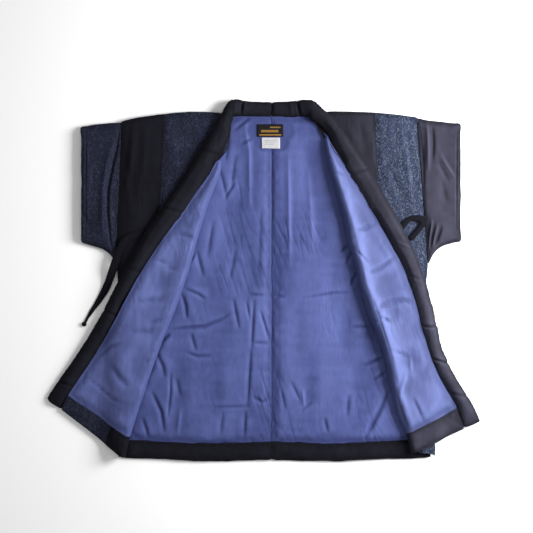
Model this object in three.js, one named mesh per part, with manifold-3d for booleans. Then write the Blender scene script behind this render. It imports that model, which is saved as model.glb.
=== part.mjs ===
// A padded short-sleeved hanten jacket, laid open flat on its back.
// Millimetres. +Z is up off the surface it lies on, +Y runs from hem to neck, +X to the right.
import * as THREE from "three";
import { mergeVertices } from "three/addons/utils/BufferGeometryUtils.js";
import Module from "manifold-3d";

// Cloth
const SHELL = 5.5; // outer cloth with its wadding
const LINING = 1.2;
const SEAM = 0.3; // clear space between two pieces at a seam
const LAYER = 0.6; // clear space between two layers that lie on each other
const RIM = 2; // how much a shell thins towards its outer edge

// Overall cut
const CENTRE_X = 19; // centre back seam
const NECK_Y = 360; // back neck seam
const NECK_HALF = 80; // half its width
const NECK_SHARE = 0.25; // its part of the half back's width
const NECK_COLUMNS = 0.3; // its part of a half back's columns
const FACING = 39; // hem facing, top to bottom
const FRONT_RISE = 13.5; // middle of a front's lower layer above the surface
const SEAM_RISE = SHELL * 1.5 + SEAM; // the same at the side and shoulder seams
const RISE_LENGTH = 30; // from the side seam to the full rise
const DROP_LENGTH = 42; // a turned-back front comes down to the surface within this
const FACING_GAP = 0.012; // seam between a front's lining and its hem facing, in rows
const NECK_BLEND = 12; // the back lining leaves the neck seam for the shoulder within this
const LINING_TOP_INSET = 18; // it stops this far below the shoulder
const LINING_SIDE_INSET = 14; // and this far in from the side seam

// Columns and rows of the back's grids
const BACK_GRID = [7, 10];
const BACK_LINING_GRID = [13, 19];
const BACK_FACING_GRID = [13, 2];

// Sections of a front
const SECTION_STEPS = 24; // points on each layer
const BEND_STEPS = 10; // points round the fold
const SHOULDER_FADE = 6; // how sharply the shoulder's curve dies away towards the fold
const ROLL_FADE = 4.5; // the fold's puff dies away within this many of its radii
const TURN_CREASE_START = 20; // creases of a turned-back layer begin this far from the fold
const TURN_CREASE_END = [22, 6]; // and die away between these distances from the collar seam
const ROW_STEP = 0.8; // between two rows of the grid, in table rows
const HEM_ROW_STEP = 0.5; // the same at the hem
const KNIFE_STEPS = 4; // rows of the strip seam for each row of the grid

// Columns of each front's grid: its lower layer, the fold and the turned-back layer
const LOWER_COLUMNS = 7;
const FOLD_COLUMNS = 8;
const UPPER_COLUMNS = 8;
const FOLD_ZONE = 14; // half the cloth's length that the fold's columns take

// Collar band
const BAND_THICK = 13;
const BAND_SEAM_THICK = 7.2;
const BAND_AROUND = 12; // points round its section
const BAND_SPREAD = 0.53; // a little over half, so that its seam and edge come out blunt
const BAND_SWELL = 0.35; // it is full from this share of its width
const BAND_ROUND = 0.8; // and rounds off from this share
const BAND_EDGE = 3; // half the thickness left at the rounded edge
const BAND_UNDER = 0.6; // how much of the rounding its underside takes

// Sleeve section
const SLEEVE_FLAT = 9; // steps along each of its two walls
const SLEEVE_INSET = SHELL + 2; // the walls stop this far from the creased edges
const SLEEVE_REACH = 1.35; // a creased edge stands out by this many half heights
const SLEEVE_OUTSET = 0.9; // share of the wall's thickness that is added there
const CREASE_ROOM = 1.5; // creases are full where a sleeve has this much room inside
const SLEEVE_ROW_STEP = 0.75;

// Outlines, each a line through its points: x, y
const BACK_SIDE_LEFT = [[-313, 348], [-326, 40], [-320, 5], [-316, -142], [-315, -338], [-319, -391]];
const BACK_SIDE_RIGHT = [[338, 358], [363, 36], [357, -10], [356, -65], [364, -272], [369, -391]];
const SHOULDER_LEFT = [
  [-313, 348], [-281, 356], [-221, 365], [-151, 372], [-95, 373], [-64, 360], [17, 360],
];
const SHOULDER_RIGHT = [
  [338, 358], [289, 364], [245, 368], [180, 371], [133, 373], [98, 360], [17, 360],
];
const HEM_LEFT = [[-319, -391], [-236, -394], [-147, -399], [-60, -398], [20, -396]];
const HEM_RIGHT = [[369, -391], [283, -393], [157, -400], [69, -396], [20, -396]];

// A front: one row for each section, from the shoulder down to the hem.
// side: where it meets the side seam, fold: the visible edge that it turns back on,
// seam: where the collar is sewn on, edge: the collar's outer edge, roll: radius of the fold
// (0 above the place where the front begins to turn back).
const LEFT_SECTIONS = [
  { side: [-313, 348], fold: [-70, 364], seam: [-70, 364], edge: [-90, 374], roll: 0 },
  { side: [-314.2, 320], fold: [-78, 317], seam: [-78, 317], edge: [-122, 313], roll: 0 },
  { side: [-316, 276], fold: [-87, 289], seam: [-100, 288], edge: [-142, 284], roll: 0 },
  { side: [-318, 229], fold: [-97, 254], seam: [-114, 254], edge: [-158, 258], roll: 4.2 },
  { side: [-319.8, 188], fold: [-107, 217], seam: [-128, 222], edge: [-175, 230], roll: 5 },
  { side: [-321.4, 150], fold: [-127, 148], seam: [-167, 161], edge: [-221, 159], roll: 5 },
  { side: [-322.8, 115], fold: [-141, 104], seam: [-201, 115], edge: [-256, 111], roll: 5 },
  { side: [-324.7, 71], fold: [-159, 40], seam: [-236, 67], edge: [-283, 64], roll: 5.5 },
  { side: [-320, 5], fold: [-181, -35], seam: [-278, 1], edge: [-315, 4], roll: 5.5 },
  { side: [-318, -70], fold: [-210, -103], seam: [-318, -75], edge: [-353, -70], roll: 5.5 },
  { side: [-316, -142], fold: [-232, -160], seam: [-349, -131], edge: [-385, -125], roll: 5.5 },
  { side: [-314, -208], fold: [-252, -215], seam: [-382, -182], edge: [-419, -178], roll: 5 },
  { side: [-313, -268], fold: [-269, -266], seam: [-412, -228], edge: [-451, -222], roll: 4.8 },
  { side: [-315, -338], fold: [-293, -344], seam: [-431, -255], edge: [-466, -244], roll: 4.4 },
  { side: [-319, -389], fold: [-303, -389], seam: [-445, -285], edge: [-477, -263], roll: 4.2 },
];
const RIGHT_SECTIONS = [
  { side: [338, 358], fold: [104, 364], seam: [104, 364], edge: [133, 376], roll: 0 },
  { side: [341, 322], fold: [123, 335], seam: [137, 334], edge: [166, 342], roll: 0 },
  { side: [344.6, 273], fold: [132, 291], seam: [153, 289], edge: [198, 295], roll: 5 },
  { side: [347.8, 232], fold: [146, 238], seam: [188, 235], edge: [232, 243], roll: 6.5 },
  { side: [350.7, 194], fold: [162, 190], seam: [215, 190], edge: [260, 196], roll: 8 },
  { side: [353.8, 155], fold: [175, 141], seam: [242, 142], edge: [285, 150], roll: 8 },
  { side: [356.9, 115], fold: [183, 97], seam: [264, 107], edge: [307, 111], roll: 8 },
  { side: [360, 75], fold: [189, 69], seam: [284, 68], edge: [327, 71], roll: 8 },
  { side: [363, 36], fold: [200, 40], seam: [302, 38], edge: [341, 38], roll: 8 },
  { side: [357, -10], fold: [212, -10], seam: [318, -5], edge: [355, -6], roll: 8.5 },
  { side: [356, -65], fold: [227, -70], seam: [337, -63], edge: [371, -57], roll: 9 },
  { side: [358, -105], fold: [244, -105], seam: [346, -105], edge: [381, -103], roll: 9 },
  { side: [360, -167], fold: [266, -164], seam: [366, -170], edge: [398, -167], roll: 9 },
  { side: [362, -219], fold: [276, -217], seam: [387, -216], edge: [424, -215], roll: 8.5 },
  { side: [364, -272], fold: [285, -266], seam: [408, -250], edge: [445, -250], roll: 7.5 },
  { side: [366, -338], fold: [313, -336], seam: [426, -282], edge: [461, -274], roll: 6 },
  { side: [369, -389], fold: [325, -378], seam: [441, -327], edge: [477, -311], roll: 5 },
];
// Where the seam between the two strips of a front lies, for each row above: millimetres along
// the cloth from the fold, towards the collar if positive
const LEFT_STRIP = [-148, -142, -134, -126, -118, -101, -86, -66, -46, -20, 4, 22, 36, 46, 53];
const RIGHT_STRIP = [
  -141, -124, -116, -104, -90, -82, -80, -80, -72, -64, -56, -46, -36, -30, -26, -24, -22,
];
const LEFT_FACING_ROW = 13; // the lining ends and the hem facing begins at this row
const RIGHT_FACING_ROW = 15;

// Sleeves: one row for each ring, from the armhole to the cuff.
// top and bottom: its two creased edges, room: clear height inside
const LEFT_SLEEVE = [
  { top: [-314, 347.5], bottom: [-327, 40], room: 0.3 },
  { top: [-325, 347], bottom: [-334, 53], room: 1.4 },
  { top: [-343, 345], bottom: [-349, 67], room: 2.4 },
  { top: [-364, 342.5], bottom: [-369, 74], room: 3 },
  { top: [-384, 339], bottom: [-387, 79], room: 3.2 },
  { top: [-396, 333], bottom: [-397, 88], room: 3.4 },
  { top: [-400, 326], bottom: [-400, 98], room: 3.4 },
];
const RIGHT_SLEEVE = [
  { top: [339, 357.5], bottom: [364, 36], room: 0.3 },
  { top: [352, 354], bottom: [369, 48], room: 1.4 },
  { top: [368, 350], bottom: [380, 66], room: 2.4 },
  { top: [390, 348], bottom: [396, 77], room: 3 },
  { top: [412, 345], bottom: [416, 82], room: 3.2 },
  { top: [427, 341], bottom: [428, 89], room: 3.4 },
  { top: [433, 334], bottom: [432.5, 98], room: 3.4 },
];

// Collar rows before each front's own: the back neck and the turn over the shoulder.
// seam and edge as above, lift: height of its underside above the surface at the seam and the edge
const LEFT_NECK = [
  { seam: [18.8, 360.4], edge: [18.8, 392], lift: [0, 0] },
  { seam: [-14, 360.4], edge: [-14, 392.5], lift: [0, 0] },
  { seam: [-44, 360.6], edge: [-42, 394], lift: [0, 2] },
  { seam: [-60, 362], edge: [-58, 398], lift: [10, 6] },
  { seam: [-66, 364], edge: [-76, 393], lift: [14, 13] },
];
const RIGHT_NECK = [
  { seam: [19.2, 360.4], edge: [19.2, 392], lift: [0, 0] },
  { seam: [50, 360.4], edge: [50, 392.5], lift: [0, 0] },
  { seam: [78, 360.6], edge: [74, 394], lift: [0, 2] },
  { seam: [95, 362], edge: [90, 397], lift: [10, 6] },
  { seam: [101, 364], edge: [112, 393], lift: [14, 13] },
];

// Creases: from and to, half width and height (a trough if negative)
const BACK_CREASES = [
  { from: [-40, 330], to: [-30, 160], width: 12, height: 1.6 },
  { from: [58, 300], to: [52, 20], width: 12, height: 1.6 },
  { from: [36, 330], to: [34, -300], width: 9, height: -1 },
  { from: [-160, -20], to: [-128, -42], width: 9, height: 2 },
  { from: [-204, -110], to: [-74, -76], width: 9, height: 2.2 },
  { from: [-22, -44], to: [-28, -152], width: 10, height: 2.4 },
  { from: [-6, -66], to: [14, -134], width: 9, height: 1.8 },
  { from: [-66, -42], to: [-53, -108], width: 10, height: 1.8 },
  { from: [70, -38], to: [174, -28], width: 8, height: 1.8 },
  { from: [192, -100], to: [240, -100], width: 9, height: 1.8 },
  { from: [226, -350], to: [262, -270], width: 13, height: 2.4 },
  { from: [-180, -345], to: [-160, -250], width: 11, height: 1.6 },
  { from: [-70, -350], to: [-64, -240], width: 12, height: 1.6 },
  { from: [110, -350], to: [120, -250], width: 12, height: 1.6 },
];
const LEFT_CREASES = [
  { from: [-281, 352], to: [-292, 210], width: 11, height: 2.4 },
  { from: [-250, 330], to: [-262, 230], width: 11, height: 1.8 },
];
const RIGHT_CREASES = [
  { from: [262, 350], to: [286, 210], width: 10, height: 2.2 },
  { from: [300, 352], to: [306, 180], width: 12, height: 2.6 },
  { from: [322, 300], to: [330, 110], width: 11, height: 2.2 },
];
const LEFT_SLEEVE_CREASES = [
  { from: [-321, 335], to: [-343, 200], width: 11, height: -2.4 },
  { from: [-333, 330], to: [-353, 190], width: 11, height: 3.4 },
  { from: [-345, 170], to: [-350, 80], width: 12, height: 2.4 },
  { from: [-376, 300], to: [-380, 140], width: 14, height: 1.4 },
];
const RIGHT_SLEEVE_CREASES = [
  { from: [360, 150], to: [388, 82], width: 9, height: 3 },
  { from: [372, 170], to: [402, 92], width: 9, height: 2.4 },
  { from: [380, 320], to: [386, 180], width: 14, height: 2 },
  { from: [410, 300], to: [414, 150], width: 13, height: 1.4 },
];
// Creases of the turned-back fronts' linings
const LEFT_TURN_CREASES = [
  { from: [-160, 60], to: [-200, -20], width: 11, height: 1.8 },
  { from: [-236, -120], to: [-318, -96], width: 10, height: 1.6 },
  { from: [-262, -240], to: [-395, -200], width: 9, height: 2 },
  { from: [-300, -300], to: [-400, -246], width: 12, height: 2.4 },
];
const RIGHT_TURN_CREASES = [
  { from: [198, 110], to: [250, 40], width: 10, height: 1.8 },
  { from: [250, -60], to: [320, -130], width: 9, height: 1.8 },
  { from: [290, -190], to: [360, -120], width: 9, height: 2 },
  { from: [310, -290], to: [400, -232], width: 11, height: 2.2 },
];

// Ties: one row for each step along the strip.
// left and right: its two edges, z: height of its underside
const TIE_THICK = 2.2;
const TIE_BEVEL = 0.5;
const TIE_SHOULDER = 0.12; // share of the width where the bevel ends
const LEFT_TIE = [
  { left: [-259, 113], right: [-267, 97], z: 16.7 },
  { left: [-275, 109], right: [-279, 92], z: 16.7 },
  { left: [-296, 104], right: [-290, 89], z: 16.7 },
  { left: [-312, 91], right: [-302, 78], z: 16.7 },
  { left: [-321, 72], right: [-311, 62], z: 16.4 },
  { left: [-331, 48], right: [-317, 42], z: 15 },
  { left: [-340, 22], right: [-324, 19], z: 12.5 },
  { left: [-347, 3], right: [-332, 0], z: 5 },
  { left: [-357, -22], right: [-343, -25], z: 0.4 },
  { left: [-368, -43], right: [-355, -43], z: 0.4 },
  { left: [-377, -58], right: [-367, -59], z: 0.4 },
  { left: [-383, -68], right: [-378, -72], z: 0.4 },
  { left: [-390, -82], right: [-387, -84], z: 0.4 },
  { left: [-395, -92], right: [-392, -94], z: 0.4 },
];
const RIGHT_TIE = [
  { left: [307.2, 112], right: [301.6, 122], z: 19.4 },
  { left: [320, 131], right: [317, 141], z: 19.4 },
  { left: [336, 132], right: [342, 143], z: 19.4 },
  { left: [346, 127], right: [358, 135], z: 19 },
  { left: [345, 121], right: [356, 121], z: 19 },
  { left: [337, 114], right: [346, 109], z: 19.4 },
  { left: [328, 102], right: [337, 98], z: 19.4 },
  { left: [319, 93], right: [328, 87], z: 19.4 },
];
const KNOT = { centre: [-395.7, -97.3], radius: 4.5, height: 6 };

// Labels at the back neck, sewn across the centre seam
const NECK_LABEL = { centre: [15, 329.5], size: [56, 26], thick: 0.8 };
const CARE_TAG = { centre: [16, 302], size: [39, 23], thick: 0.6 };
const LABEL_LIFT = 1; // clear of the lining's creases
const LABEL_STEPS = 4;

// Finishes
const FINISH = {
  darkLeft: { color: 0x1e2028, roughness: 0.85 },
  darkRight: { color: 0x3c3e48, roughness: 0.7 },
  speckled: { color: 0x2c3252, roughness: 0.85 },
  lining: { color: 0x6570b0, roughness: 0.6 },
  label: { color: 0x101014, roughness: 0.7 },
  tag: { color: 0xe8e8ec, roughness: 0.6 },
};

// Helpers
const clamp = THREE.MathUtils.clamp;
const lerp = THREE.MathUtils.lerp;
const smooth = THREE.MathUtils.smoothstep;

const CURVE_TENSION = 0.5;

function curveThrough(points) {
  const places = points.map(([x, y]) => new THREE.Vector3(x, y, 0));
  return new THREE.CatmullRomCurve3(places, false, "catmullrom", CURVE_TENSION);
}

// A line's x at a height y, or its y at an x
function crossing(points, axis, value) {
  const other = 1 - axis;
  for (let i = 0; i + 1 < points.length; i++) {
    const [a, b] = [points[i], points[i + 1]];
    const share = (value - a[axis]) / (b[axis] - a[axis]);
    if (share >= 0 && share <= 1) return lerp(a[other], b[other], share);
  }
  const first = points[0];
  const last = points[points.length - 1];
  return Math.abs(value - first[axis]) < Math.abs(value - last[axis]) ? first[other] : last[other];
}

// Height that the creases in a table add at a place
function relief(creases, x, y) {
  let sum = 0;
  for (const { from, to, width, height } of creases) {
    const [dx, dy] = [to[0] - from[0], to[1] - from[1]];
    const length = Math.hypot(dx, dy);
    const along = ((x - from[0]) * dx + (y - from[1]) * dy) / length;
    const off = ((x - from[0]) * dy - (y - from[1]) * dx) / length;
    const ends = smooth(along, -width, width * 2) * (1 - smooth(along, length - width * 2, length + width));
    sum += height * ends * Math.exp(-((off / width) ** 2));
  }
  return sum;
}

// A closed solid from a list of rings of points, each ring the same even count, with flat ends
function loft(rings) {
  const around = rings[0].length;
  const positions = rings.flat().flatMap((p) => [p.x, p.y, p.z]);
  const faces = [];
  for (let i = 0; i + 1 < rings.length; i++) {
    for (let j = 0; j < around; j++) {
      const [a, b] = [i * around + j, i * around + ((j + 1) % around)];
      // Both sides of a wall are cut into triangles along the same diagonal
      if (j < around / 2) faces.push(a, b, b + around, a, b + around, a + around);
      else faces.push(a, b, a + around, b, b + around, a + around);
    }
  }
  const last = (rings.length - 1) * around;
  for (let j = 0; j < around / 2 - 1; j++) {
    const [p, q, r, s] = [j, j + 1, around - 2 - j, around - 1 - j];
    faces.push(p, s, q, q, s, r);
    faces.push(last + p, last + q, last + s, last + q, last + r, last + s);
  }
  return closedGeometry(positions, faces);
}

// A wall between a lower and an upper grid of points: every section becomes a ring
function wall(lower, upper) {
  return loft(lower.map((row, i) => [...row, ...[...upper[i]].reverse()]));
}

// A hollow tube between outer and inner rings of the same count, open at both ends
function tube(outer, inner) {
  const around = outer[0].length;
  const count = outer.length;
  const positions = [...outer, ...inner].flat().flatMap((p) => [p.x, p.y, p.z]);
  const faces = [];
  const at = (side, i, j) => (side * count + i) * around + (j % around);
  const quad = (a, b, c, d) => faces.push(a, b, c, a, c, d);
  for (let j = 0; j < around; j++) {
    for (let i = 0; i + 1 < count; i++) {
      quad(at(0, i, j), at(0, i, j + 1), at(0, i + 1, j + 1), at(0, i + 1, j));
      quad(at(1, i, j), at(1, i + 1, j), at(1, i + 1, j + 1), at(1, i, j + 1));
    }
    quad(at(0, 0, j), at(1, 0, j), at(1, 0, j + 1), at(0, 0, j + 1));
    const end = count - 1;
    quad(at(0, end, j), at(0, end, j + 1), at(1, end, j + 1), at(1, end, j));
  }
  return closedGeometry(positions, faces);
}

// Turns the faces outwards if the volume that they enclose comes out negative
function closedGeometry(positions, faces) {
  let volume = 0;
  const corner = (k) => new THREE.Vector3().fromArray(positions, faces[k] * 3);
  for (let k = 0; k < faces.length; k += 3) {
    volume += corner(k).dot(corner(k + 1).cross(corner(k + 2)));
  }
  if (volume < 0) {
    for (let k = 0; k < faces.length; k += 3) [faces[k + 1], faces[k + 2]] = [faces[k + 2], faces[k + 1]];
  }
  const geometry = new THREE.BufferGeometry();
  geometry.setAttribute("position", new THREE.Float32BufferAttribute(positions, 3));
  geometry.setIndex(faces);
  geometry.computeVertexNormals();
  return geometry;
}

const wasm = await Module();
wasm.setup();

function solidOf(geometry) {
  const bare = new THREE.BufferGeometry();
  bare.setAttribute("position", geometry.getAttribute("position"));
  bare.setIndex(geometry.index);
  const merged = mergeVertices(bare, 1e-4);
  return new wasm.Manifold(new wasm.Mesh({
    numProp: 3,
    vertProperties: merged.attributes.position.array,
    triVerts: new Uint32Array(merged.index.array),
  }));
}

// Cuts a piece in two along a thin solid: the half nearer the side seam and the other
function split(geometry, knife) {
  const halves = solidOf(geometry).subtract(solidOf(knife)).decompose();
  halves.sort((a, b) => b.volume() - a.volume());
  const reach = (half) => {
    const { min, max } = half.boundingBox();
    return Math.min(Math.abs(min[0]), Math.abs(max[0]));
  };
  const [inner, outer] = halves.slice(0, 2).sort((a, b) => reach(a) - reach(b)).map((half) => {
    const mesh = half.getMesh();
    return closedGeometry(Array.from(mesh.vertProperties), Array.from(mesh.triVerts));
  });
  return { inner, outer };
}

const garment = new THREE.Group();

function add(name, geometry, finish) {
  const mesh = new THREE.Mesh(geometry, new THREE.MeshStandardMaterial({ ...FINISH[finish], metalness: 0 }));
  mesh.name = name;
  garment.add(mesh);
}

// The back: each half is a grid from the centre seam out to the side seam
function backPlan(side, top, hem) {
  const sideLine = side < 0 ? BACK_SIDE_LEFT : BACK_SIDE_RIGHT;
  return (across, down) => {
    let x = CENTRE_X;
    let y = 0;
    for (let pass = 0; pass < 3; pass++) {
      y = lerp(top(x), hem(x), down);
      const edge = crossing(sideLine, 1, y);
      x = lerp(CENTRE_X + side * SEAM / 2, edge, across);
    }
    return [x, y];
  };
}

// The lining's underside: it lies on the shell and lifts off it in its creases
const liningBase = (x, y) => SHELL + LAYER + Math.max(0, relief(BACK_CREASES, x, y));

function buildBack(side, label) {
  const shoulder = side < 0 ? SHOULDER_LEFT : SHOULDER_RIGHT;
  const hemLine = side < 0 ? HEM_LEFT : HEM_RIGHT;
  const top = (x) => crossing(shoulder, 0, x);
  const hem = (x) => crossing(hemLine, 0, x);
  const facingTop = (x) => hem(x) + FACING;
  const neckEdge = NECK_HALF + 3;
  const offNeck = (x) => smooth(Math.abs(x - CENTRE_X), neckEdge, neckEdge + NECK_BLEND);
  const liningTop = (x) => lerp(NECK_Y - SEAM, top(x) - LINING_TOP_INSET, offNeck(x));

  // Columns are closest near the neck and one stands at its corner
  const slab = (plan, [columns, rows], low, high) => {
    const share = (j) => {
      const cut = Math.round(columns * NECK_COLUMNS);
      return j <= cut ? (NECK_SHARE * j) / cut : lerp(NECK_SHARE, 1, (j - cut) / (columns - cut));
    };
    const lower = [];
    const upper = [];
    for (let i = 0; i <= rows; i++) {
      lower.push([]);
      upper.push([]);
      for (let j = 0; j <= columns; j++) {
        const [x, y] = plan(share(j), i / rows);
        const outer = j === columns || i === rows || (i === 0 && Math.abs(x - CENTRE_X) > NECK_HALF + 6);
        lower[i].push(new THREE.Vector3(x, y, low(x, y, outer)));
        upper[i].push(new THREE.Vector3(x, y, high(x, y, outer)));
      }
    }
    return wall(lower, upper);
  };

  const shell = backPlan(side, top, hem);
  const underside = (x, y, outer) => (outer ? RIM : 0);
  add(`back_${label}`, slab(shell, BACK_GRID, underside, () => SHELL), "darkLeft");

  const sideLine = side < 0 ? BACK_SIDE_LEFT : BACK_SIDE_RIGHT;
  const inner = (plan) => (across, down) => {
    const [x, y] = plan(across, down);
    const limit = crossing(sideLine, 1, y) - side * LINING_SIDE_INSET;
    return [side < 0 ? Math.max(x, limit) : Math.min(x, limit), y];
  };
  const high = (x, y) => liningBase(x, y) + LINING;
  const liningPlan = inner(backPlan(side, liningTop, (x) => facingTop(x) + SEAM / 2));
  add(`back_lining_${label}`, slab(liningPlan, BACK_LINING_GRID, liningBase, high), "lining");
  const facingPlan = inner(backPlan(side, (x) => facingTop(x) - SEAM / 2, (x) => hem(x) + RIM));
  add(`back_hem_facing_${label}`, slab(facingPlan, BACK_FACING_GRID, liningBase, high), "darkLeft");
}

// How high the underside of a layer rests at a distance beyond the side seam
const FRONT_TOP = FRONT_RISE + SHELL / 2;
const restHeight = (beyond) => (FRONT_TOP + LAYER * 2) * (1 - smooth(beyond, -2, DROP_LENGTH));

// A front, worked out from its table of sections
class Front {
  constructor(side, sections, strip, shoulder, creases, turnCreases) {
    this.side = side;
    this.shoulder = shoulder;
    this.sections = sections;
    this.strip = strip;
    this.creases = creases;
    this.turnCreases = turnCreases;
    this.lines = {};
    for (const key of ["side", "fold", "seam", "edge"]) {
      this.lines[key] = curveThrough(sections.map((row) => row[key]));
    }
    this.sideLine = sections.map((row) => row.side);
  }

  at(key, row) {
    return this.lines[key].getPoint(row / (this.sections.length - 1));
  }

  value(list, row) {
    const i = clamp(Math.floor(row), 0, list.length - 2);
    return lerp(list[i], list[i + 1], row - i);
  }

  // How far a place lies beyond the side seam, away from the body
  beyond(x, y) {
    return this.side * (x - crossing(this.sideLine, 1, y));
  }

  // The lower layer's height at a place some way in from the side seam
  lowerHeight(x, y, inside, reach) {
    const fromShoulder = crossing(this.shoulder, 0, x) - y;
    const side = smooth(inside, 0, Math.min(RISE_LENGTH, reach));
    const rise = side * smooth(fromShoulder, 0, RISE_LENGTH);
    return lerp(SEAM_RISE, FRONT_RISE, rise) + rise * relief(this.creases, x, y);
  }

  // The middle line of the shell in one row: points with their distance along the cloth
  section(row) {
    const side = this.at("side", row);
    const fold = this.at("fold", row);
    const seam = this.at("seam", row);
    const roll = this.value(this.sections.map((s) => s.roll), row);
    const turned = this.value(this.sections.map((s) => (s.roll > 0 ? 1 : 0)), row) === 1;
    const points = [];
    const inward = new THREE.Vector3(-this.side, 0, 0);
    if (turned) {
      const step = 0.5;
      const along = this.at("fold", row + step > this.sections.length - 1 ? row : row + step)
        .sub(this.at("fold", row - step));
      inward.set(along.y, -along.x, 0).normalize();
      if (inward.x * -this.side < 0) inward.negate();
    }
    const reach = turned ? roll + SHELL / 2 + LINING + LAYER : 0;
    const centre = fold.clone().addScaledVector(inward, -reach);
    const width = side.distanceTo(centre);
    for (let i = 0; i <= SECTION_STEPS; i++) {
      const share = i / SECTION_STEPS;
      const p = side.clone().lerp(centre, share);
      // The first rows follow the shoulder's curve
      const follow = Math.max(0, 1 - row) * (1 - share ** SHOULDER_FADE);
      p.y += (crossing(this.shoulder, 0, p.x) - p.y) * follow;
      p.z = this.lowerHeight(p.x, p.y, width * share, width);
      points.push(p);
    }
    let foldIndex = points.length - 1;
    if (turned) {
      const base = points[foldIndex].z;
      for (let i = 1; i <= BEND_STEPS; i++) {
        const angle = (Math.PI * i) / BEND_STEPS;
        const p = centre.clone().addScaledVector(inward, roll * Math.sin(angle));
        p.z = base + roll * (1 - Math.cos(angle));
        points.push(p);
      }
      foldIndex += BEND_STEPS / 2;
      const start = points[points.length - 1].clone();
      const length = Math.hypot(seam.x - start.x, seam.y - start.y);
      const [fadeFrom, fadeTo] = TURN_CREASE_END.map((reach) => length - reach);
      const puff = Math.max(0, start.z - FRONT_TOP - LAYER * 2 - SHELL / 2);
      for (let i = 1; i <= SECTION_STEPS; i++) {
        const p = start.clone().lerp(seam, i / SECTION_STEPS);
        const gone = (length * i) / SECTION_STEPS;
        const rest = restHeight(this.beyond(p.x, p.y)) + SHELL / 2;
        const fall = Math.exp(-((gone / (roll * ROLL_FADE)) ** 2));
        const edges = smooth(gone, 0, TURN_CREASE_START) * (1 - smooth(gone, fadeFrom, fadeTo));
        p.z = rest + puff * fall + edges * relief(this.turnCreases, p.x, p.y);
        points.push(p);
      }
    }
    const distance = [0];
    for (let i = 1; i < points.length; i++) {
      distance.push(distance[i - 1] + points[i].distanceTo(points[i - 1]));
    }
    return { points, distance, fold: distance[foldIndex], total: distance[points.length - 1], turned };
  }

  // The place at a distance along a section
  place(section, along) {
    const { points, distance } = section;
    let i = 0;
    while (i < distance.length - 2 && distance[i + 1] < along) i++;
    const share = (along - distance[i]) / (distance[i + 1] - distance[i]);
    return points[i].clone().lerp(points[i + 1], clamp(share, 0, 1));
  }

  // The grid of a front on a list of rows: places, distances along the cloth and directions
  panel(rows) {
    const lines = rows.map((row) => {
      const section = this.section(row);
      const { total, turned } = section;
      const fold = turned ? section.fold : total;
      const zone = turned ? Math.min(FOLD_ZONE, fold * 0.6, (total - fold) * 0.8) : FOLD_ZONE;
      const stops = turned
        ? [SEAM, fold - zone, fold + zone, total - SEAM]
        : [SEAM, total - zone * 2, total - zone, total - SEAM];
      const counts = [LOWER_COLUMNS, FOLD_COLUMNS, UPPER_COLUMNS];
      const distances = [stops[0]];
      counts.forEach((count, part) => {
        for (let k = 1; k <= count; k++) distances.push(lerp(stops[part], stops[part + 1], k / count));
      });
      const seam = fold + this.value(this.strip, row);
      return { distances, seam, points: distances.map((d) => this.place(section, d)) };
    });
    lines.forEach((line, i) => {
      const before = lines[Math.max(i - 1, 0)].points;
      const after = lines[Math.min(i + 1, lines.length - 1)].points;
      const last = line.points.length - 1;
      line.normals = line.points.map((_, j) => {
        const across = line.points[Math.min(j + 1, last)].clone().sub(line.points[Math.max(j - 1, 0)]);
        const normal = across.cross(after[j].clone().sub(before[j])).normalize();
        if (this.side > 0) normal.negate();
        return j === last || j === 0 ? new THREE.Vector3(0, 0, Math.sign(normal.z)) : normal;
      });
    });
    return lines;
  }

  // The part of a panel from a column to its collar edge
  part(panel, from) {
    return panel.map((line) => ({ points: line.points.slice(from), normals: line.normals.slice(from) }));
  }

  // More rows on the same facets
  refined(panel, steps) {
    const fine = [panel[0]];
    for (let i = 0; i + 1 < panel.length; i++) {
      const [a, b] = [panel[i], panel[i + 1]];
      for (let k = 1; k <= steps; k++) {
        const share = k / steps;
        fine.push({
          seam: lerp(a.seam, b.seam, share),
          distances: a.distances.map((d, j) => lerp(d, b.distances[j], share)),
          points: a.points.map((p, j) => p.clone().lerp(b.points[j], share)),
          normals: a.normals.map((n, j) => n.clone().lerp(b.normals[j], share).normalize()),
        });
      }
    }
    return fine;
  }

  // A thin ribbon that stands across the cloth along the seam between the strips
  knife(panel, low, high) {
    const lines = this.refined(panel, KNIFE_STEPS).map((line) => {
      const { distances, points, normals, seam } = line;
      const ends = [seam - SEAM / 2, seam + SEAM / 2].map((d) => {
        let j = 0;
        while (j < distances.length - 2 && distances[j + 1] < d) j++;
        const share = (d - distances[j]) / (distances[j + 1] - distances[j]);
        return {
          point: points[j].clone().lerp(points[j + 1], share),
          normal: normals[j].clone().lerp(normals[j + 1], share).normalize(),
        };
      });
      return { points: ends.map((e) => e.point), normals: ends.map((e) => e.normal) };
    });
    const stretch = (line, other) => ({
      points: line.points.map((p, j) => p.clone().lerp(other.points[j], -1)),
      normals: line.normals,
    });
    lines.unshift(stretch(lines[0], lines[1]));
    lines.push(stretch(lines[lines.length - 1], lines[lines.length - 2]));
    return this.piece(lines, low, high, () => 1, -10);
  }

  // A wall on some lines, from one distance off them to another (positive on the lining's side)
  piece(lines, from, to, thin, floor = 0) {
    const layer = (distance) => lines.map((line, i) => line.points.map((p, j) => {
      const q = p.clone().addScaledVector(line.normals[j], distance * thin(i, j));
      q.z = Math.max(q.z, floor);
      return q;
    }));
    return wall(layer(from), layer(to));
  }
}

function rowsBetween(from, to, step) {
  const count = Math.max(1, Math.round((to - from) / step));
  return Array.from({ length: count + 1 }, (_, i) => lerp(from, to, i / count));
}

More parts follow.
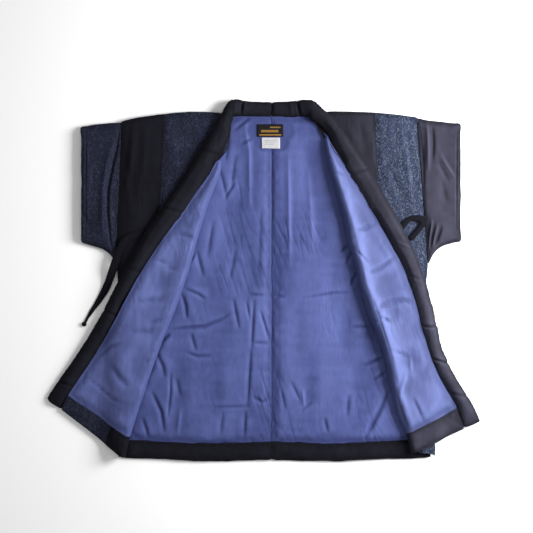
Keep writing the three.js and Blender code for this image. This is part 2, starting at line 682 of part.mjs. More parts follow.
function buildFront(label, front, facingRow, finishes) {
  const last = front.sections.length - 1;
  const firstTurned = front.sections.findIndex((row) => row.roll > 0);
  const upper = rowsBetween(0, firstTurned, ROW_STEP);
  const middle = rowsBetween(firstTurned, facingRow, ROW_STEP);
  const lower = rowsBetween(facingRow, last, HEM_ROW_STEP);
  const rows = [...upper, ...middle.slice(1), ...lower.slice(1)];
  const panel = front.panel(rows);
  const half = SHELL / 2;
  const thin = (i, j) => (i === 0 || i === rows.length - 1 || j === 0 ? 1 - RIM / SHELL : 1);
  const shell = front.piece(panel, -half, half, thin);
  const strips = split(shell, front.knife(panel, -SHELL, SHELL));
  add(`front_${label}_side_strip`, strips.outer, finishes.side);
  add(`front_${label}_inner_strip`, strips.inner, finishes.inner);

  const low = half + LAYER;
  const full = () => 1;
  const cover = (lines) => front.piece(front.part(lines, LOWER_COLUMNS), low, low + LINING, full);
  const liningPanel = front.panel([upper[upper.length - 2], ...middle.slice(0, -1), facingRow - FACING_GAP]);
  add(`front_lining_${label}`, cover(liningPanel), "lining");
  const facingPanel = panel.slice(rows.indexOf(facingRow));
  if (finishes.facing.length === 1) {
    add(`front_hem_facing_${label}`, cover(facingPanel), finishes.facing[0]);
  } else {
    const parts = split(cover(facingPanel), front.knife(facingPanel, 0, SHELL * 2));
    add(`front_hem_facing_${label}_side`, parts.inner, finishes.facing[0]);
    add(`front_hem_facing_${label}_inner`, parts.outer, finishes.facing[1]);
  }
  return rows;
}

// The collar: a padded band, one ring for each row from the centre back to the hem
function buildCollar(label, front, frontRows, neck) {
  const rows = [];
  const ends = neck.length - 1;
  const neckLines = {
    seam: curveThrough(neck.map((row) => row.seam)),
    edge: curveThrough(neck.map((row) => row.edge)),
  };
  for (const t of rowsBetween(0, ends, 0.5)) {
    rows.push({
      seam: neckLines.seam.getPoint(t / ends),
      edge: neckLines.edge.getPoint(t / ends),
      lift: [front.value(neck.map((r) => r.lift[0]), t), front.value(neck.map((r) => r.lift[1]), t)],
    });
  }
  for (const t of frontRows.slice(1)) {
    const seam = front.at("seam", t);
    const edge = front.at("edge", t);
    rows.push({ seam, edge, lift: [seam, edge].map((p) => restHeight(front.beyond(p.x, p.y))) });
  }
  const rings = rows.map(({ seam, edge, lift }) => {
    const ring = [];
    for (let k = 0; k < BAND_AROUND; k++) {
      const angle = (Math.PI * 2 * (k + 0.5)) / BAND_AROUND;
      const across = clamp(0.5 - BAND_SPREAD * Math.cos(angle), 0, 1);
      const thick = lerp(BAND_SEAM_THICK, BAND_THICK, smooth(across, 0, BAND_SWELL));
      const round = smooth(across, BAND_ROUND, 1) * (BAND_THICK / 2 - BAND_EDGE);
      const p = seam.clone().lerp(edge, across);
      const underside = lerp(lift[0], lift[1], across);
      p.z = underside + (angle < Math.PI ? thick - round : round * BAND_UNDER);
      ring.push(p);
    }
    return ring;
  });
  add(`collar_${label}`, loft(rings), label === "left" ? "darkLeft" : "darkRight");
}

// A sleeve: a flattened tube whose lower wall lies on the surface
function buildSleeve(label, table, creases, finish) {
  const ring = (row, outset) => {
    const [tx, ty] = row.top;
    const [bx, by] = row.bottom;
    const round = (SHELL + row.room) / 2;
    const length = Math.hypot(bx - tx, by - ty);
    const dir = [(bx - tx) / length, (by - ty) / length];
    const middle = SHELL + row.room / 2;
    const far = length - SLEEVE_INSET;
    const reach = round * SLEEVE_REACH + outset * SLEEVE_OUTSET;
    const creased = smooth(row.room, SEAM, CREASE_ROOM);
    const put = (along, z) => new THREE.Vector3(tx + dir[0] * along, ty + dir[1] * along, z);
    const points = [];
    for (let i = 0; i <= SLEEVE_FLAT; i++) {
      points.push(put(lerp(SLEEVE_INSET, far, i / SLEEVE_FLAT), middle - round - outset));
    }
    points.push(put(far + reach, middle));
    for (let i = SLEEVE_FLAT; i >= 0; i--) {
      const p = put(lerp(SLEEVE_INSET, far, i / SLEEVE_FLAT), middle + round + outset);
      p.z += Math.max(relief(creases, p.x, p.y) * creased, SEAM - row.room);
      points.push(p);
    }
    points.push(put(SLEEVE_INSET - reach, middle));
    return points;
  };
  const smoothTable = [];
  const tops = curveThrough(table.map((row) => row.top));
  const bottoms = curveThrough(table.map((row) => row.bottom));
  const count = table.length - 1;
  for (const t of rowsBetween(0, count, SLEEVE_ROW_STEP)) {
    const i = Math.min(Math.floor(t), count - 1);
    const [top, bottom] = [tops.getPoint(t / count), bottoms.getPoint(t / count)];
    smoothTable.push({
      top: [top.x, top.y],
      bottom: [bottom.x, bottom.y],
      room: lerp(table[i].room, table[i + 1].room, t - i),
    });
  }
  const outer = smoothTable.map((row) => ring(row, SHELL / 2));
  const inner = smoothTable.map((row) => ring(row, -SHELL / 2 + 0.01));
  add(`sleeve_${label}`, tube(outer, inner), finish);
}

// A tie: a flat sewn strip
function buildTie(label, table, finish) {
  const rings = table.map(({ left, right, z }) => {
    const along = (share, height) => new THREE.Vector3(
      lerp(left[0], right[0], share), lerp(left[1], right[1], share), z + height);
    const [near, far] = [TIE_SHOULDER, 1 - TIE_SHOULDER];
    const top = TIE_THICK - TIE_BEVEL;
    return [
      along(0, TIE_BEVEL), along(near, 0), along(far, 0), along(1, TIE_BEVEL),
      along(1, top), along(far, TIE_THICK), along(near, TIE_THICK), along(0, top),
    ];
  });
  add(`tie_${label}`, loft(rings), finish);
}

function buildLabel(name, { centre, size, thick }, base, finish) {
  const lower = [];
  const upper = [];
  const shares = Array.from({ length: LABEL_STEPS + 1 }, (_, i) => i / LABEL_STEPS - 0.5);
  for (const down of shares) {
    const y = centre[1] - size[1] * down;
    const row = shares.map((across) => centre[0] + size[0] * across);
    lower.push(row.map((x) => new THREE.Vector3(x, y, base)));
    upper.push(row.map((x) => new THREE.Vector3(x, y, base + thick)));
  }
  add(name, wall(lower, upper), finish);
}

const leftFront = new Front(
  -1, LEFT_SECTIONS, LEFT_STRIP, SHOULDER_LEFT, LEFT_CREASES, LEFT_TURN_CREASES,
);
const rightFront = new Front(
  1, RIGHT_SECTIONS, RIGHT_STRIP, SHOULDER_RIGHT, RIGHT_CREASES, RIGHT_TURN_CREASES,
);

buildBack(-1, "left");
buildBack(1, "right");
const leftRows = buildFront("left", leftFront, LEFT_FACING_ROW,
  { side: "darkLeft", inner: "speckled", facing: ["darkLeft", "speckled"] });
const rightRows = buildFront("right", rightFront, RIGHT_FACING_ROW,
  { side: "speckled", inner: "darkRight", facing: ["darkRight"] });
buildCollar("left", leftFront, leftRows, LEFT_NECK);
buildCollar("right", rightFront, rightRows, RIGHT_NECK);
buildSleeve("left", LEFT_SLEEVE, LEFT_SLEEVE_CREASES, "speckled");
buildSleeve("right", RIGHT_SLEEVE, RIGHT_SLEEVE_CREASES, "darkRight");
buildTie("left", LEFT_TIE, "darkLeft");
buildTie("right", RIGHT_TIE, "darkRight");
const labelBase = SHELL + LAYER + LINING + LABEL_LIFT;
buildLabel("neck_label", NECK_LABEL, labelBase, "label");
buildLabel("care_tag", CARE_TAG, labelBase, "tag");

// The knot at the left tie's end
const knotShape = new THREE.SphereGeometry(KNOT.radius, 8, 5);
knotShape.scale(1, 1, KNOT.height / KNOT.radius / 2);
knotShape.translate(KNOT.centre[0], KNOT.centre[1], KNOT.height / 2 + LAYER);
add("tie_knot", knotShape, "darkLeft");

// The part's origin: middle of its box, on the surface that it lies on
const box = new THREE.Box3().setFromObject(garment);
garment.position.set(-(box.min.x + box.max.x) / 2, -(box.min.y + box.max.y) / 2, -box.min.z);

export default garment;
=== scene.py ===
"""A padded short-sleeved hanten jacket, laid open flat and seen from above."""

import functools
import logging
import math
from collections.abc import Sequence
from dataclasses import dataclass
from enum import Enum

import bmesh
import bpy
import numpy as np
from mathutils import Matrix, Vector
from mathutils.bvhtree import BVHTree
from mathutils.kdtree import KDTree


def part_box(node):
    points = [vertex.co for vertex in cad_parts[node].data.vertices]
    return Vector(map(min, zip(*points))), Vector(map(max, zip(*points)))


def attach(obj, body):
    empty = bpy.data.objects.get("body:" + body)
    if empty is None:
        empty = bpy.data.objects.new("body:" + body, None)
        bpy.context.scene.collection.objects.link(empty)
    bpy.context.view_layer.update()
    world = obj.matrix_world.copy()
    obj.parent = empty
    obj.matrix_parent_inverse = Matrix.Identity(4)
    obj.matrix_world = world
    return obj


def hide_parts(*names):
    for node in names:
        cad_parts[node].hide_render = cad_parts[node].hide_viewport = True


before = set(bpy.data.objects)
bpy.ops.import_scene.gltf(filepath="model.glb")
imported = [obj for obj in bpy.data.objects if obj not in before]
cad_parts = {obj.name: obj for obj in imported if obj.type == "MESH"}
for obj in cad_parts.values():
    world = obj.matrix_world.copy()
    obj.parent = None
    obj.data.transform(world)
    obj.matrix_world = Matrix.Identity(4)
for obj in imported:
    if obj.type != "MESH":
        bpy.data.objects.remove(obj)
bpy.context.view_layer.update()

MM = 0.001
Array = np.ndarray
Point = tuple[float, float]
Colour = tuple[float, float, float]
log = logging.getLogger("hanten")


class Side(Enum):
    """Left and right as seen from above with the neck at the top."""

    LEFT = "left"
    RIGHT = "right"


class Hold(Enum):
    """How a sheet of cloth is held."""

    LAID = "laid"
    FOLDED = "folded"


def smooth(value: Array, low: float, high: float) -> Array:
    """Runs softly from 0 at low to 1 at high.

    Args:
        value: The numbers to run over.
        low: Where the result is 0.
        high: Where the result is 1.

    Returns:
        The softened shares.
    """
    share = np.clip((value - low) / (high - low), 0.0, 1.0)
    return share * share * (3.0 - 2.0 * share)


def capped(moves: Array, furthest: float) -> Array:
    """Cuts back the moves that are longer than the furthest allowed."""
    length = np.linalg.norm(moves, axis=1, keepdims=True)
    return moves * np.minimum(1.0, furthest / np.maximum(length, 1e-9))


def reach(line: Sequence[Point], places: Array) -> tuple[Array, Array]:
    """Measures places against a line.

    Args:
        line: The line's points in plan.
        places: Points in plan.

    Returns:
        Each point's distance from the line, and its share along it.
    """
    best = np.full(len(places), np.inf)
    gone = np.zeros(len(places))
    total = 0.0
    for start, end in zip(line, line[1:]):
        first = np.array(start)
        step = np.array(end) - first
        length = float(np.linalg.norm(step))
        share = np.clip(((places - first) @ step) / length**2, 0.0, 1.0)
        off = np.linalg.norm(places - (first + share[:, None] * step), axis=1)
        closer = off < best
        best = np.where(closer, off, best)
        gone = np.where(closer, total + share * length, gone)
        total += length
    return best, gone / total


def add_object(name: str, data: bpy.types.ID) -> bpy.types.Object:
    """Adds an object to the scene.

    Args:
        name: Its name.
        data: Its mesh, lamp or camera.

    Returns:
        The object.
    """
    thing = bpy.data.objects.new(name, data)
    bpy.context.scene.collection.objects.link(thing)
    return thing


# Shader graphs


class Value:
    """A shader socket that Python's operators work on."""

    def __init__(self, graph: "Graph", socket: bpy.types.NodeSocket) -> None:
        """Wraps a socket of a graph."""
        self.graph = graph
        self.socket = socket

    def _join(self, operation: str, *inputs: "Value | float") -> "Value":
        """One Math node on these inputs."""
        return self.graph.math(operation, *inputs)

    def __add__(self, other: "Value | float") -> "Value":
        """Sum."""
        return self._join("ADD", self, other)

    __radd__ = __add__

    def __sub__(self, other: "Value | float") -> "Value":
        """Difference."""
        return self._join("SUBTRACT", self, other)

    def __rsub__(self, other: "Value | float") -> "Value":
        """Difference from a number."""
        return self._join("SUBTRACT", other, self)

    def __mul__(self, other: "Value | float") -> "Value":
        """Product."""
        return self._join("MULTIPLY", self, other)

    __rmul__ = __mul__

    def __lt__(self, other: "Value | float") -> "Value":
        """1 where it is less."""
        return self._join("LESS_THAN", self, other)

    def __abs__(self) -> "Value":
        """Size without its sign."""
        return self._join("ABSOLUTE", self)


class Graph:
    """A material's node graph."""

    def __init__(self, name: str) -> None:
        """Starts an empty material."""
        self.material = bpy.data.materials.new(name)
        self.material.use_nodes = True
        self.tree = self.material.node_tree
        self.tree.nodes.clear()

    def node(self, kind: str, settings: dict | None = None, sockets: dict | None = None) -> bpy.types.Node:
        """Adds a node.

        Args:
            kind: Blender's type of node.
            settings: Its properties, set first.
            sockets: Values or links of its inputs, by name or number.

        Returns:
            The node.
        """
        node = self.tree.nodes.new(kind)
        for key, value in (settings or {}).items():
            setattr(node, key, value)
        for key, value in (sockets or {}).items():
            target = node.inputs[key]
            if isinstance(value, Value):
                self.tree.links.new(value.socket, target)
            else:
                target.default_value = value
        return node

    def out(self, node: bpy.types.Node, name: str | int = 0) -> Value:
        """One of a node's outputs."""
        return Value(self, node.outputs[name])

    def math(self, operation: str, *inputs: "Value | float") -> Value:
        """One Math node."""
        return self.out(self.node("ShaderNodeMath", {"operation": operation}, dict(enumerate(inputs))))

    def place(self, scale: tuple[float, float, float] = (1, 1, 1), turn: float = 0.0) -> Value:
        """Object coordinates, scaled and turned in plan.

        Args:
            scale: Factor on each axis.
            turn: Angle in degrees.

        Returns:
            The vector.
        """
        place = self.out(self.node("ShaderNodeTexCoord"), "Object")
        rotation = (0.0, 0.0, math.radians(turn))
        sockets = {"Vector": place, "Rotation": rotation, "Scale": scale}
        return self.out(self.node("ShaderNodeMapping", None, sockets))

    def noise(self, place: Value, scale: float, detail: float = 2.0) -> Value:
        """A noise from 0 to 1."""
        sockets = {"Vector": place, "Scale": scale, "Detail": detail}
        return self.out(self.node("ShaderNodeTexNoise", None, sockets), "Fac")

    def attribute(self, name: str) -> Value:
        """A number kept on the mesh's points."""
        return self.out(self.node("ShaderNodeAttribute", {"attribute_name": name}), "Fac")

    def ramp(self, value: Value, low: float, high: float) -> Value:
        """Runs softly from 0 at low to 1 at high."""
        settings = {"interpolation_type": "SMOOTHSTEP"}
        sockets = {"Value": value, "From Min": low, "From Max": high}
        return self.out(self.node("ShaderNodeMapRange", settings, sockets))

    def mix(self, share: "Value | float", first: "Value | Colour", second: "Value | Colour") -> Value:
        """Mixes two colours.

        Args:
            share: 0 for the first, 1 for the second.
            first: A colour.
            second: A colour.

        Returns:
            The mixed colour.
        """
        node = self.node("ShaderNodeMix", {"data_type": "RGBA"})
        for socket, value in ((0, share), (6, first), (7, second)):
            target = node.inputs[socket]
            if isinstance(value, Value):
                self.tree.links.new(value.socket, target)
            else:
                target.default_value = (*value, 1.0) if isinstance(value, tuple) else value
        return self.out(node, 2)

    def wrinkles(self) -> Value:
        """Fine uneven creases in loose patches: 0 in a crease, 1 on flat cloth."""
        fold = abs(self.noise(self.place((1.0, 0.3, 1.0), 14.0), 21.0, 3.0) - 0.5)
        patch = self.ramp(self.noise(self.place(), 9.0, 4.0), 0.5, 0.68)
        return 1.0 - (1.0 - self.ramp(fold, 0.0, 0.06)) * patch

    def finish(self, colour: Value, roughness: "Value | float", height: Value, sheen: float,
               tint: Colour) -> bpy.types.Material:
        """Closes the graph with a cloth surface.

        Args:
            colour: Base colour.
            roughness: Roughness.
            height: Height for the bump, in millimetres.
            sheen: Weight of the sheen.
            tint: Its colour.

        Returns:
            The material.
        """
        bump = self.node("ShaderNodeBump", None, {"Strength": 0.8, "Distance": MM, "Height": height})
        shader = self.node("ShaderNodeBsdfPrincipled", None, {
            "Base Color": colour, "Roughness": roughness, "Normal": self.out(bump),
            "Sheen Weight": sheen, "Sheen Roughness": 0.45, "Sheen Tint": (*tint, 1.0),
            "Specular IOR Level": 0.12,
        })
        output = self.node("ShaderNodeOutputMaterial")
        self.tree.links.new(shader.outputs[0], output.inputs["Surface"])
        return self.material


# Finishes

YARN = 1400.0  # yarns a metre
FLECKS = 560.0  # flecks a metre


def weave(graph: Graph) -> Value:
    """Makes a plain weave. A wave texture has 10 / pi bands for each unit of its scale.

    Args:
        graph: The material's graph.

    Returns:
        The weave's height, from 0 to 1.
    """
    waves = []
    for direction in ("X", "Y"):
        settings = {"wave_type": "BANDS", "bands_direction": direction}
        sockets = {"Vector": graph.place(), "Scale": YARN * math.pi / 10, "Distortion": 0.6}
        waves.append(graph.out(graph.node("ShaderNodeTexWave", settings, sockets), "Fac"))
    return waves[0] * 0.5 + waves[1] * 0.5


@dataclass(frozen=True)
class PaintedLightRamp:
    """Painted light across the jacket: from one place to another, in metres, the cloth's tones run to a second
    pair, paler where light is painted and darker where shade is.
    """

    start: float
    end: float
    deep: Colour
    pale: Colour


@dataclass(frozen=True)
class PlainCloth:
    """A plain cloth with a slight grain, with painted light on its ridges, painted shade in its troughs and
    painted shade at its edges and seams.
    """

    name: str
    slot: str
    deep: Colour
    pale: Colour
    sheen: float
    roughness: float
    wrinkle: float  # depth of its fine creases, in millimetres
    # painted light across the jacket, if any
    fade: PaintedLightRamp | None = None

    def material(self) -> bpy.types.Material:
        """Makes the material."""
        graph = Graph(self.name)
        grain = graph.noise(graph.place((1.0, 0.35, 1.0)), 160.0, 4.0)
        broad = graph.noise(graph.place((1.0, 0.5, 1.0)), 9.0)
        # Painted light and shade: ridges are painted paler and troughs darker, and the cloth near its edges
        # and seams is painted darker; grain and broad are its own uneven tone.
        ridge = graph.attribute("ridge")
        tone_and_painted_shading = graph.ramp(grain * 0.3 + broad * 0.4 + ridge * 0.35 - graph.attribute("rim") * 0.4, 0.0, 0.7)
        colour = graph.mix(tone_and_painted_shading, self.deep, self.pale)
        # Painted light across the jacket: along x the colour runs into a second pair of tones, paler where
        # light is painted and darker where shade is.
        if self.fade:
            parts = graph.node("ShaderNodeSeparateXYZ", None, {"Vector": graph.place()})
            share = graph.ramp(graph.out(parts, 0), self.fade.start, self.fade.end)
            colour = graph.mix(share, colour, graph.mix(tone_and_painted_shading, self.fade.deep, self.fade.pale))
        rough = graph.ramp(grain, 0.3, 0.7) * 0.12 + (self.roughness - 0.06)
        height = weave(graph) * 0.1 + grain * 0.15 + graph.wrinkles() * self.wrinkle
        return graph.finish(colour, rough, height, self.sheen, self.pale)


@dataclass(frozen=True)
class SpeckledCloth:
    """An indigo cloth woven with fine pale flecks that lie in loose slanting rows."""

    name: str
    slot: str
    deep: Colour
    pale: Colour
    fleck: Colour
    sheen: float

    def material(self) -> bpy.types.Material:
        """Makes the material."""
        graph = Graph(self.name)
        place = graph.place((1.0, 0.55, 1.0), 12.0)
        sockets = {"Vector": place, "Scale": FLECKS, "Randomness": 0.85}
        cells = graph.node("ShaderNodeTexVoronoi", None, sockets)
        near = 1.0 - graph.ramp(graph.out(cells, "Distance"), 0.25, 0.7)
        parts = graph.node("ShaderNodeSeparateColor", None, {"Color": graph.out(cells, "Color")})
        bright = graph.ramp(graph.out(parts, 0), 0.15, 0.95)
        patch = graph.ramp(graph.noise(graph.place((1.0, 0.35, 1.0), 20.0), 110.0, 3.0), 0.3, 0.7) * 0.7 + 0.3
        broad = graph.noise(graph.place(), 11.0)
        # Painted light and shade: ridges are painted paler, troughs darker, and the cloth near its edges and
        # seams darker; broad is its own uneven tone.
        tone_and_painted_shading = broad * 0.7 + graph.attribute("ridge") * 0.4 - graph.attribute("rim") * 0.5
        ground = graph.mix(graph.ramp(tone_and_painted_shading, 0.0, 0.8), self.deep, self.pale)
        flecks = near * bright * patch
        colour = graph.mix(flecks, ground, self.fleck)
        height = weave(graph) * 0.1 + flecks * 0.2 + graph.wrinkles() * 0.6
        return graph.finish(colour, 0.82, height, self.sheen, self.fleck)


@dataclass(frozen=True)
class MarkedTape:
    """A small label with plain bars and no lettering."""

    name: str
    slot: str
    node: str
    ground: Colour
    ink: Colour
    bars: tuple[tuple[float, float, float, float], ...]
    dashes: float

    def material(self) -> bpy.types.Material:
        """Makes the material: each bar is its middle and half size, as shares of the label."""
        low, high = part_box(self.node)
        middle, size = (low + high) / 2, high - low
        graph = Graph(self.name)
        parts = graph.node("ShaderNodeSeparateXYZ", None, {"Vector": graph.place()})
        across = (graph.out(parts, 0) - middle.x) * (1.0 / size.x)
        up = (graph.out(parts, 1) - middle.y) * (1.0 / size.y)
        dash = graph.math("FRACT", (across + 1.0) * self.dashes) < 0.68
        marks = None
        for x, y, half_x, half_y in self.bars:
            bar = (abs(across - x) < half_x) * (abs(up - y) < half_y)
            bar = bar if half_y < 0.05 else bar * dash
            marks = bar if marks is None else graph.math("MAXIMUM", marks, bar)
        colour = graph.mix(marks * 0.9, self.ground, self.ink)
        height = weave(graph) * 0.12 + marks * 0.08
        return graph.finish(colour, 0.6, height, 0.0, self.ground)


DARK_LEFT = PlainCloth(
    "dark_cloth_left", "dark_cloth", (0.003, 0.003, 0.006), (0.0085, 0.0085, 0.0145), 0.02, 0.85, 0.5)
# A copy of the dark cloth with painted sheen: a little paler than the left copy, and paler still from the
# middle to the right, on the lamp's side.
DARK_RIGHT_PAINTED_SHEEN = PlainCloth(
    "dark_cloth_right_painted_sheen", "dark_cloth", (0.0035, 0.0035, 0.0065), (0.009, 0.009, 0.015), 0.02, 0.80, 0.8,
    PaintedLightRamp(0.05, 0.42, (0.0145, 0.0145, 0.0235), (0.039, 0.0385, 0.061)))
SPECKLED_LEFT = SpeckledCloth(
    "speckled_cloth_left", "speckled_cloth", (0.006, 0.0072, 0.016), (0.012, 0.014, 0.030),
    (0.042, 0.047, 0.085), 0.02)
# A copy of the speckled cloth painted about twice as pale as the left copy, as painted light on the lamp's
# side.
SPECKLED_RIGHT_PAINTED_LIGHT = SpeckledCloth(
    "speckled_cloth_right_painted_light", "speckled_cloth", (0.010, 0.014, 0.030), (0.026, 0.034, 0.066),
    (0.105, 0.13, 0.19), 0.03)
LINING = PlainCloth(
    "lining_cloth", "lining", (0.037, 0.048, 0.150), (0.080, 0.101, 0.275), 0.03, 0.62, 0.6)
# A copy of the lining painted paler as painted light on the fronts, the most on the left and a little less
# from the middle rightwards.
FRONT_LINING_PAINTED_LIGHT = PlainCloth(
    "front_lining_cloth_painted_light", "lining", (0.060, 0.075, 0.205), (0.115, 0.143, 0.355), 0.03, 0.62, 0.6,
    PaintedLightRamp(-0.25, 0.20, (0.053, 0.067, 0.171), (0.104, 0.129, 0.305)))
LABEL = MarkedTape(
    "woven_label", "woven_label", "neck_label", (0.005, 0.005, 0.007), (0.30, 0.16, 0.03),
    ((0.0, -0.38, 0.43, 0.045), (-0.02, -0.06, 0.34, 0.10), (0.2, 0.26, 0.2, 0.055)), 13.0)
TAG = MarkedTape(
    "care_tag", "care_tag", "care_tag", (0.42, 0.42, 0.44), (0.26, 0.26, 0.29),
    ((0.0, 0.25, 0.36, 0.03), (0.0, 0.08, 0.36, 0.03), (-0.08, -0.12, 0.28, 0.03)), 5.0)
Finish = PlainCloth | SpeckledCloth | MarkedTape


@functools.cache
def material_of(finish: Finish) -> bpy.types.Material:
    """A finish's material, made once."""
    return finish.material()


# Relief. Places are in millimetres on the jacket's own plan, with heights up off the cloth.

CARE_TAG_CENTRE = (16.0, 302.0)


def plan_shift() -> Array:
    """How far the frame lies from the jacket's own plan, in millimetres."""
    low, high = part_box("care_tag")
    middle = (low + high) / (2 * MM)
    return np.array([middle.x - CARE_TAG_CENTRE[0], middle.y - CARE_TAG_CENTRE[1]])


@dataclass(frozen=True)
class Crease:
    """A ridge along a line, or a trough if its height is negative."""

    line: tuple[Point, ...]
    width: float
    height: float

    PINCH_WIDTH = 0.75  # as a share of the crease's width
    SHOULDER_WIDTH = 2.3  # the same for the opposite bend beside it
    TAPER = 0.6  # how fast it fades to its ends

    def heights(self, places: Array) -> Array:
        """Works out the crease's own height.

        Args:
            places: Points in plan.

        Returns:
            What it adds at each place.
        """
        off, share = reach(self.line, places)
        pinch = np.exp(-((off / (self.PINCH_WIDTH * self.width)) ** 1.5))
        shoulder = np.exp(-((off / (self.width * self.SHOULDER_WIDTH)) ** 2))
        return self.height * np.sin(np.pi * share) ** self.TAPER * (1.3 * pinch - 0.5 * shoulder)


def folds(*rows: tuple[tuple[Point, ...], float, float]) -> tuple[Crease, ...]:
    """Makes a crease of each row's line, width and height."""
    return tuple(Crease(*row) for row in rows)


@dataclass(frozen=True)
class Pull:
    """A sideways pull on the cloth near a line."""

    line: tuple[Point, ...]
    width: float
    step: Point

    def steps(self, places: Array) -> Array:
        """How far each place is pulled."""
        off, _ = reach(self.line, places)
        return np.exp(-((off / self.width) ** 2))[:, None] * np.array(self.step)


@dataclass(frozen=True)
class Drop:
    """A place along a line where a padded piece's underside comes down to its seam."""

    line: tuple[Point, ...]
    width: float = 16.0
    fade: float = 10.0
    height: float = 1.0

    def lower(self, places: Array, heights: Array, share: Array) -> Array:
        """Works out the new heights.

        Args:
            places: Points in plan.
            heights: Their heights.
            share: How much each belongs to the underside, from 0 to 1.

        Returns:
            The heights, lower near the line.
        """
        off, _ = reach(self.line, places)
        near = share * (1.0 - smooth(off, self.width, self.width + self.fade))
        return heights - near * np.maximum(heights - self.height, 0.0)


class Ripples:
    """Soft uneven heights from -1 to 1, the same in each run."""

    SIZE = 96

    def __init__(self, seed: int) -> None:
        """Fills the grid."""
        self.grid = np.random.default_rng(seed).uniform(-1.0, 1.0, (self.SIZE, self.SIZE))

    def at(self, places: Array, cell: Point) -> Array:
        """Heights at places.

        Args:
            places: Points in plan.
            cell: Size of a ripple across and along.

        Returns:
            One height for each place.
        """
        scaled = places / np.array(cell) + self.SIZE / 2
        corner = np.floor(scaled).astype(int)
        share = scaled - corner
        share = share * share * (3.0 - 2.0 * share)
        (x, y), (i, j) = share.T, corner.T % self.SIZE
        right, up = (i + 1) % self.SIZE, (j + 1) % self.SIZE
        low = self.grid[i, j] * (1 - x) + self.grid[right, j] * x
        high = self.grid[i, up] * (1 - x) + self.grid[right, up] * x
        return low * (1 - y) + high * y


@dataclass(frozen=True)
class Relief:
    """What a cloth's surface does beyond its panel's form."""

    creases: tuple[Crease, ...] = ()
    calm: tuple[Crease, ...] = ()
    ripple: float = 0.4
    cell: Point = (38.0, 95.0)
    pucker: float = 0.5
    dip: float = 1.0
    round: float = 6.0
    seed: int = 1
    puff: float = 0.0
    floor: float = -1.2
    crumple: float = 0.0
    rest: float = 0.0  # height kept where it is calm
    depth: float = 1.0  # factor on the creases

    TURN = np.array([[0.956, -0.292], [0.292, 0.956]])  # 17 degrees
    LONG_CELL = (15.0, 120.0)
    FINE_CELL = (10.0, 70.0)
    PATCH_CELL = (80.0, 90.0)
    PUCKER_CELL = (9.0, 9.0)
    PUCKER_REACH = 14.0  # from the edge, like the two below
    RISE = 4.0
    SWELL = 20.0

    def pinch(self, places: Array) -> Array:
        """What the creases alone add at each place."""
        lines = (crease.heights(places) for crease in self.creases)
        return self.depth * sum(lines, np.zeros(len(places)))

    def _crumples(self, places: Array) -> Array:
        """Makes fine uneven troughs in loose patches.

        Args:
            places: Points in plan.

        Returns:
            Their heights, 0 on flat cloth and less in a trough.
        """
        noise = Ripples(self.seed + 7)
        turned = places @ self.TURN
        lines = np.abs(noise.at(turned, self.LONG_CELL))
        finer = np.abs(noise.at(turned + 700.0, self.FINE_CELL))
        patch = smooth(noise.at(places - 900.0, self.PATCH_CELL), -0.1, 0.7)
        long_troughs = np.clip(1.0 - lines / 0.25, 0.0, 1.0)
        return -patch * (long_troughs + 0.6 * np.clip(1.0 - finer / 0.3, 0.0, 1.0))

    def heights(self, places: Array, rim: Array) -> Array:
        """Adds up the relief.

        Args:
            places: Points in plan.
            rim: Their distance from the piece's edge.

        Returns:
            The height that each point is raised by.
        """
        noise = Ripples(self.seed)
        total = self.ripple * noise.at(places, self.cell)
        total += 0.4 * self.ripple * noise.at(places[:, ::-1], (self.cell[0] * 0.4, self.cell[1] * 0.3))
        total += self.pucker * np.exp(-rim / self.PUCKER_REACH) * noise.at(places, self.PUCKER_CELL)
        total += self.pinch(places)
        if self.crumple:
            total += self.crumple * self._crumples(places)
        swell = np.full(len(places), self.puff)
        for spot in self.calm:
            off, _ = reach(spot.line, places)
            near = smooth(off, spot.width, spot.width * 1.8)
            total *= near
            swell = self.rest + (swell - self.rest) * near
        total = total * smooth(rim, 0.0, self.RISE) + swell * smooth(rim, 0.0, self.SWELL)
        return np.maximum(total, self.floor) - self.dip * np.exp(-((rim / self.round) ** 2))


# Pieces


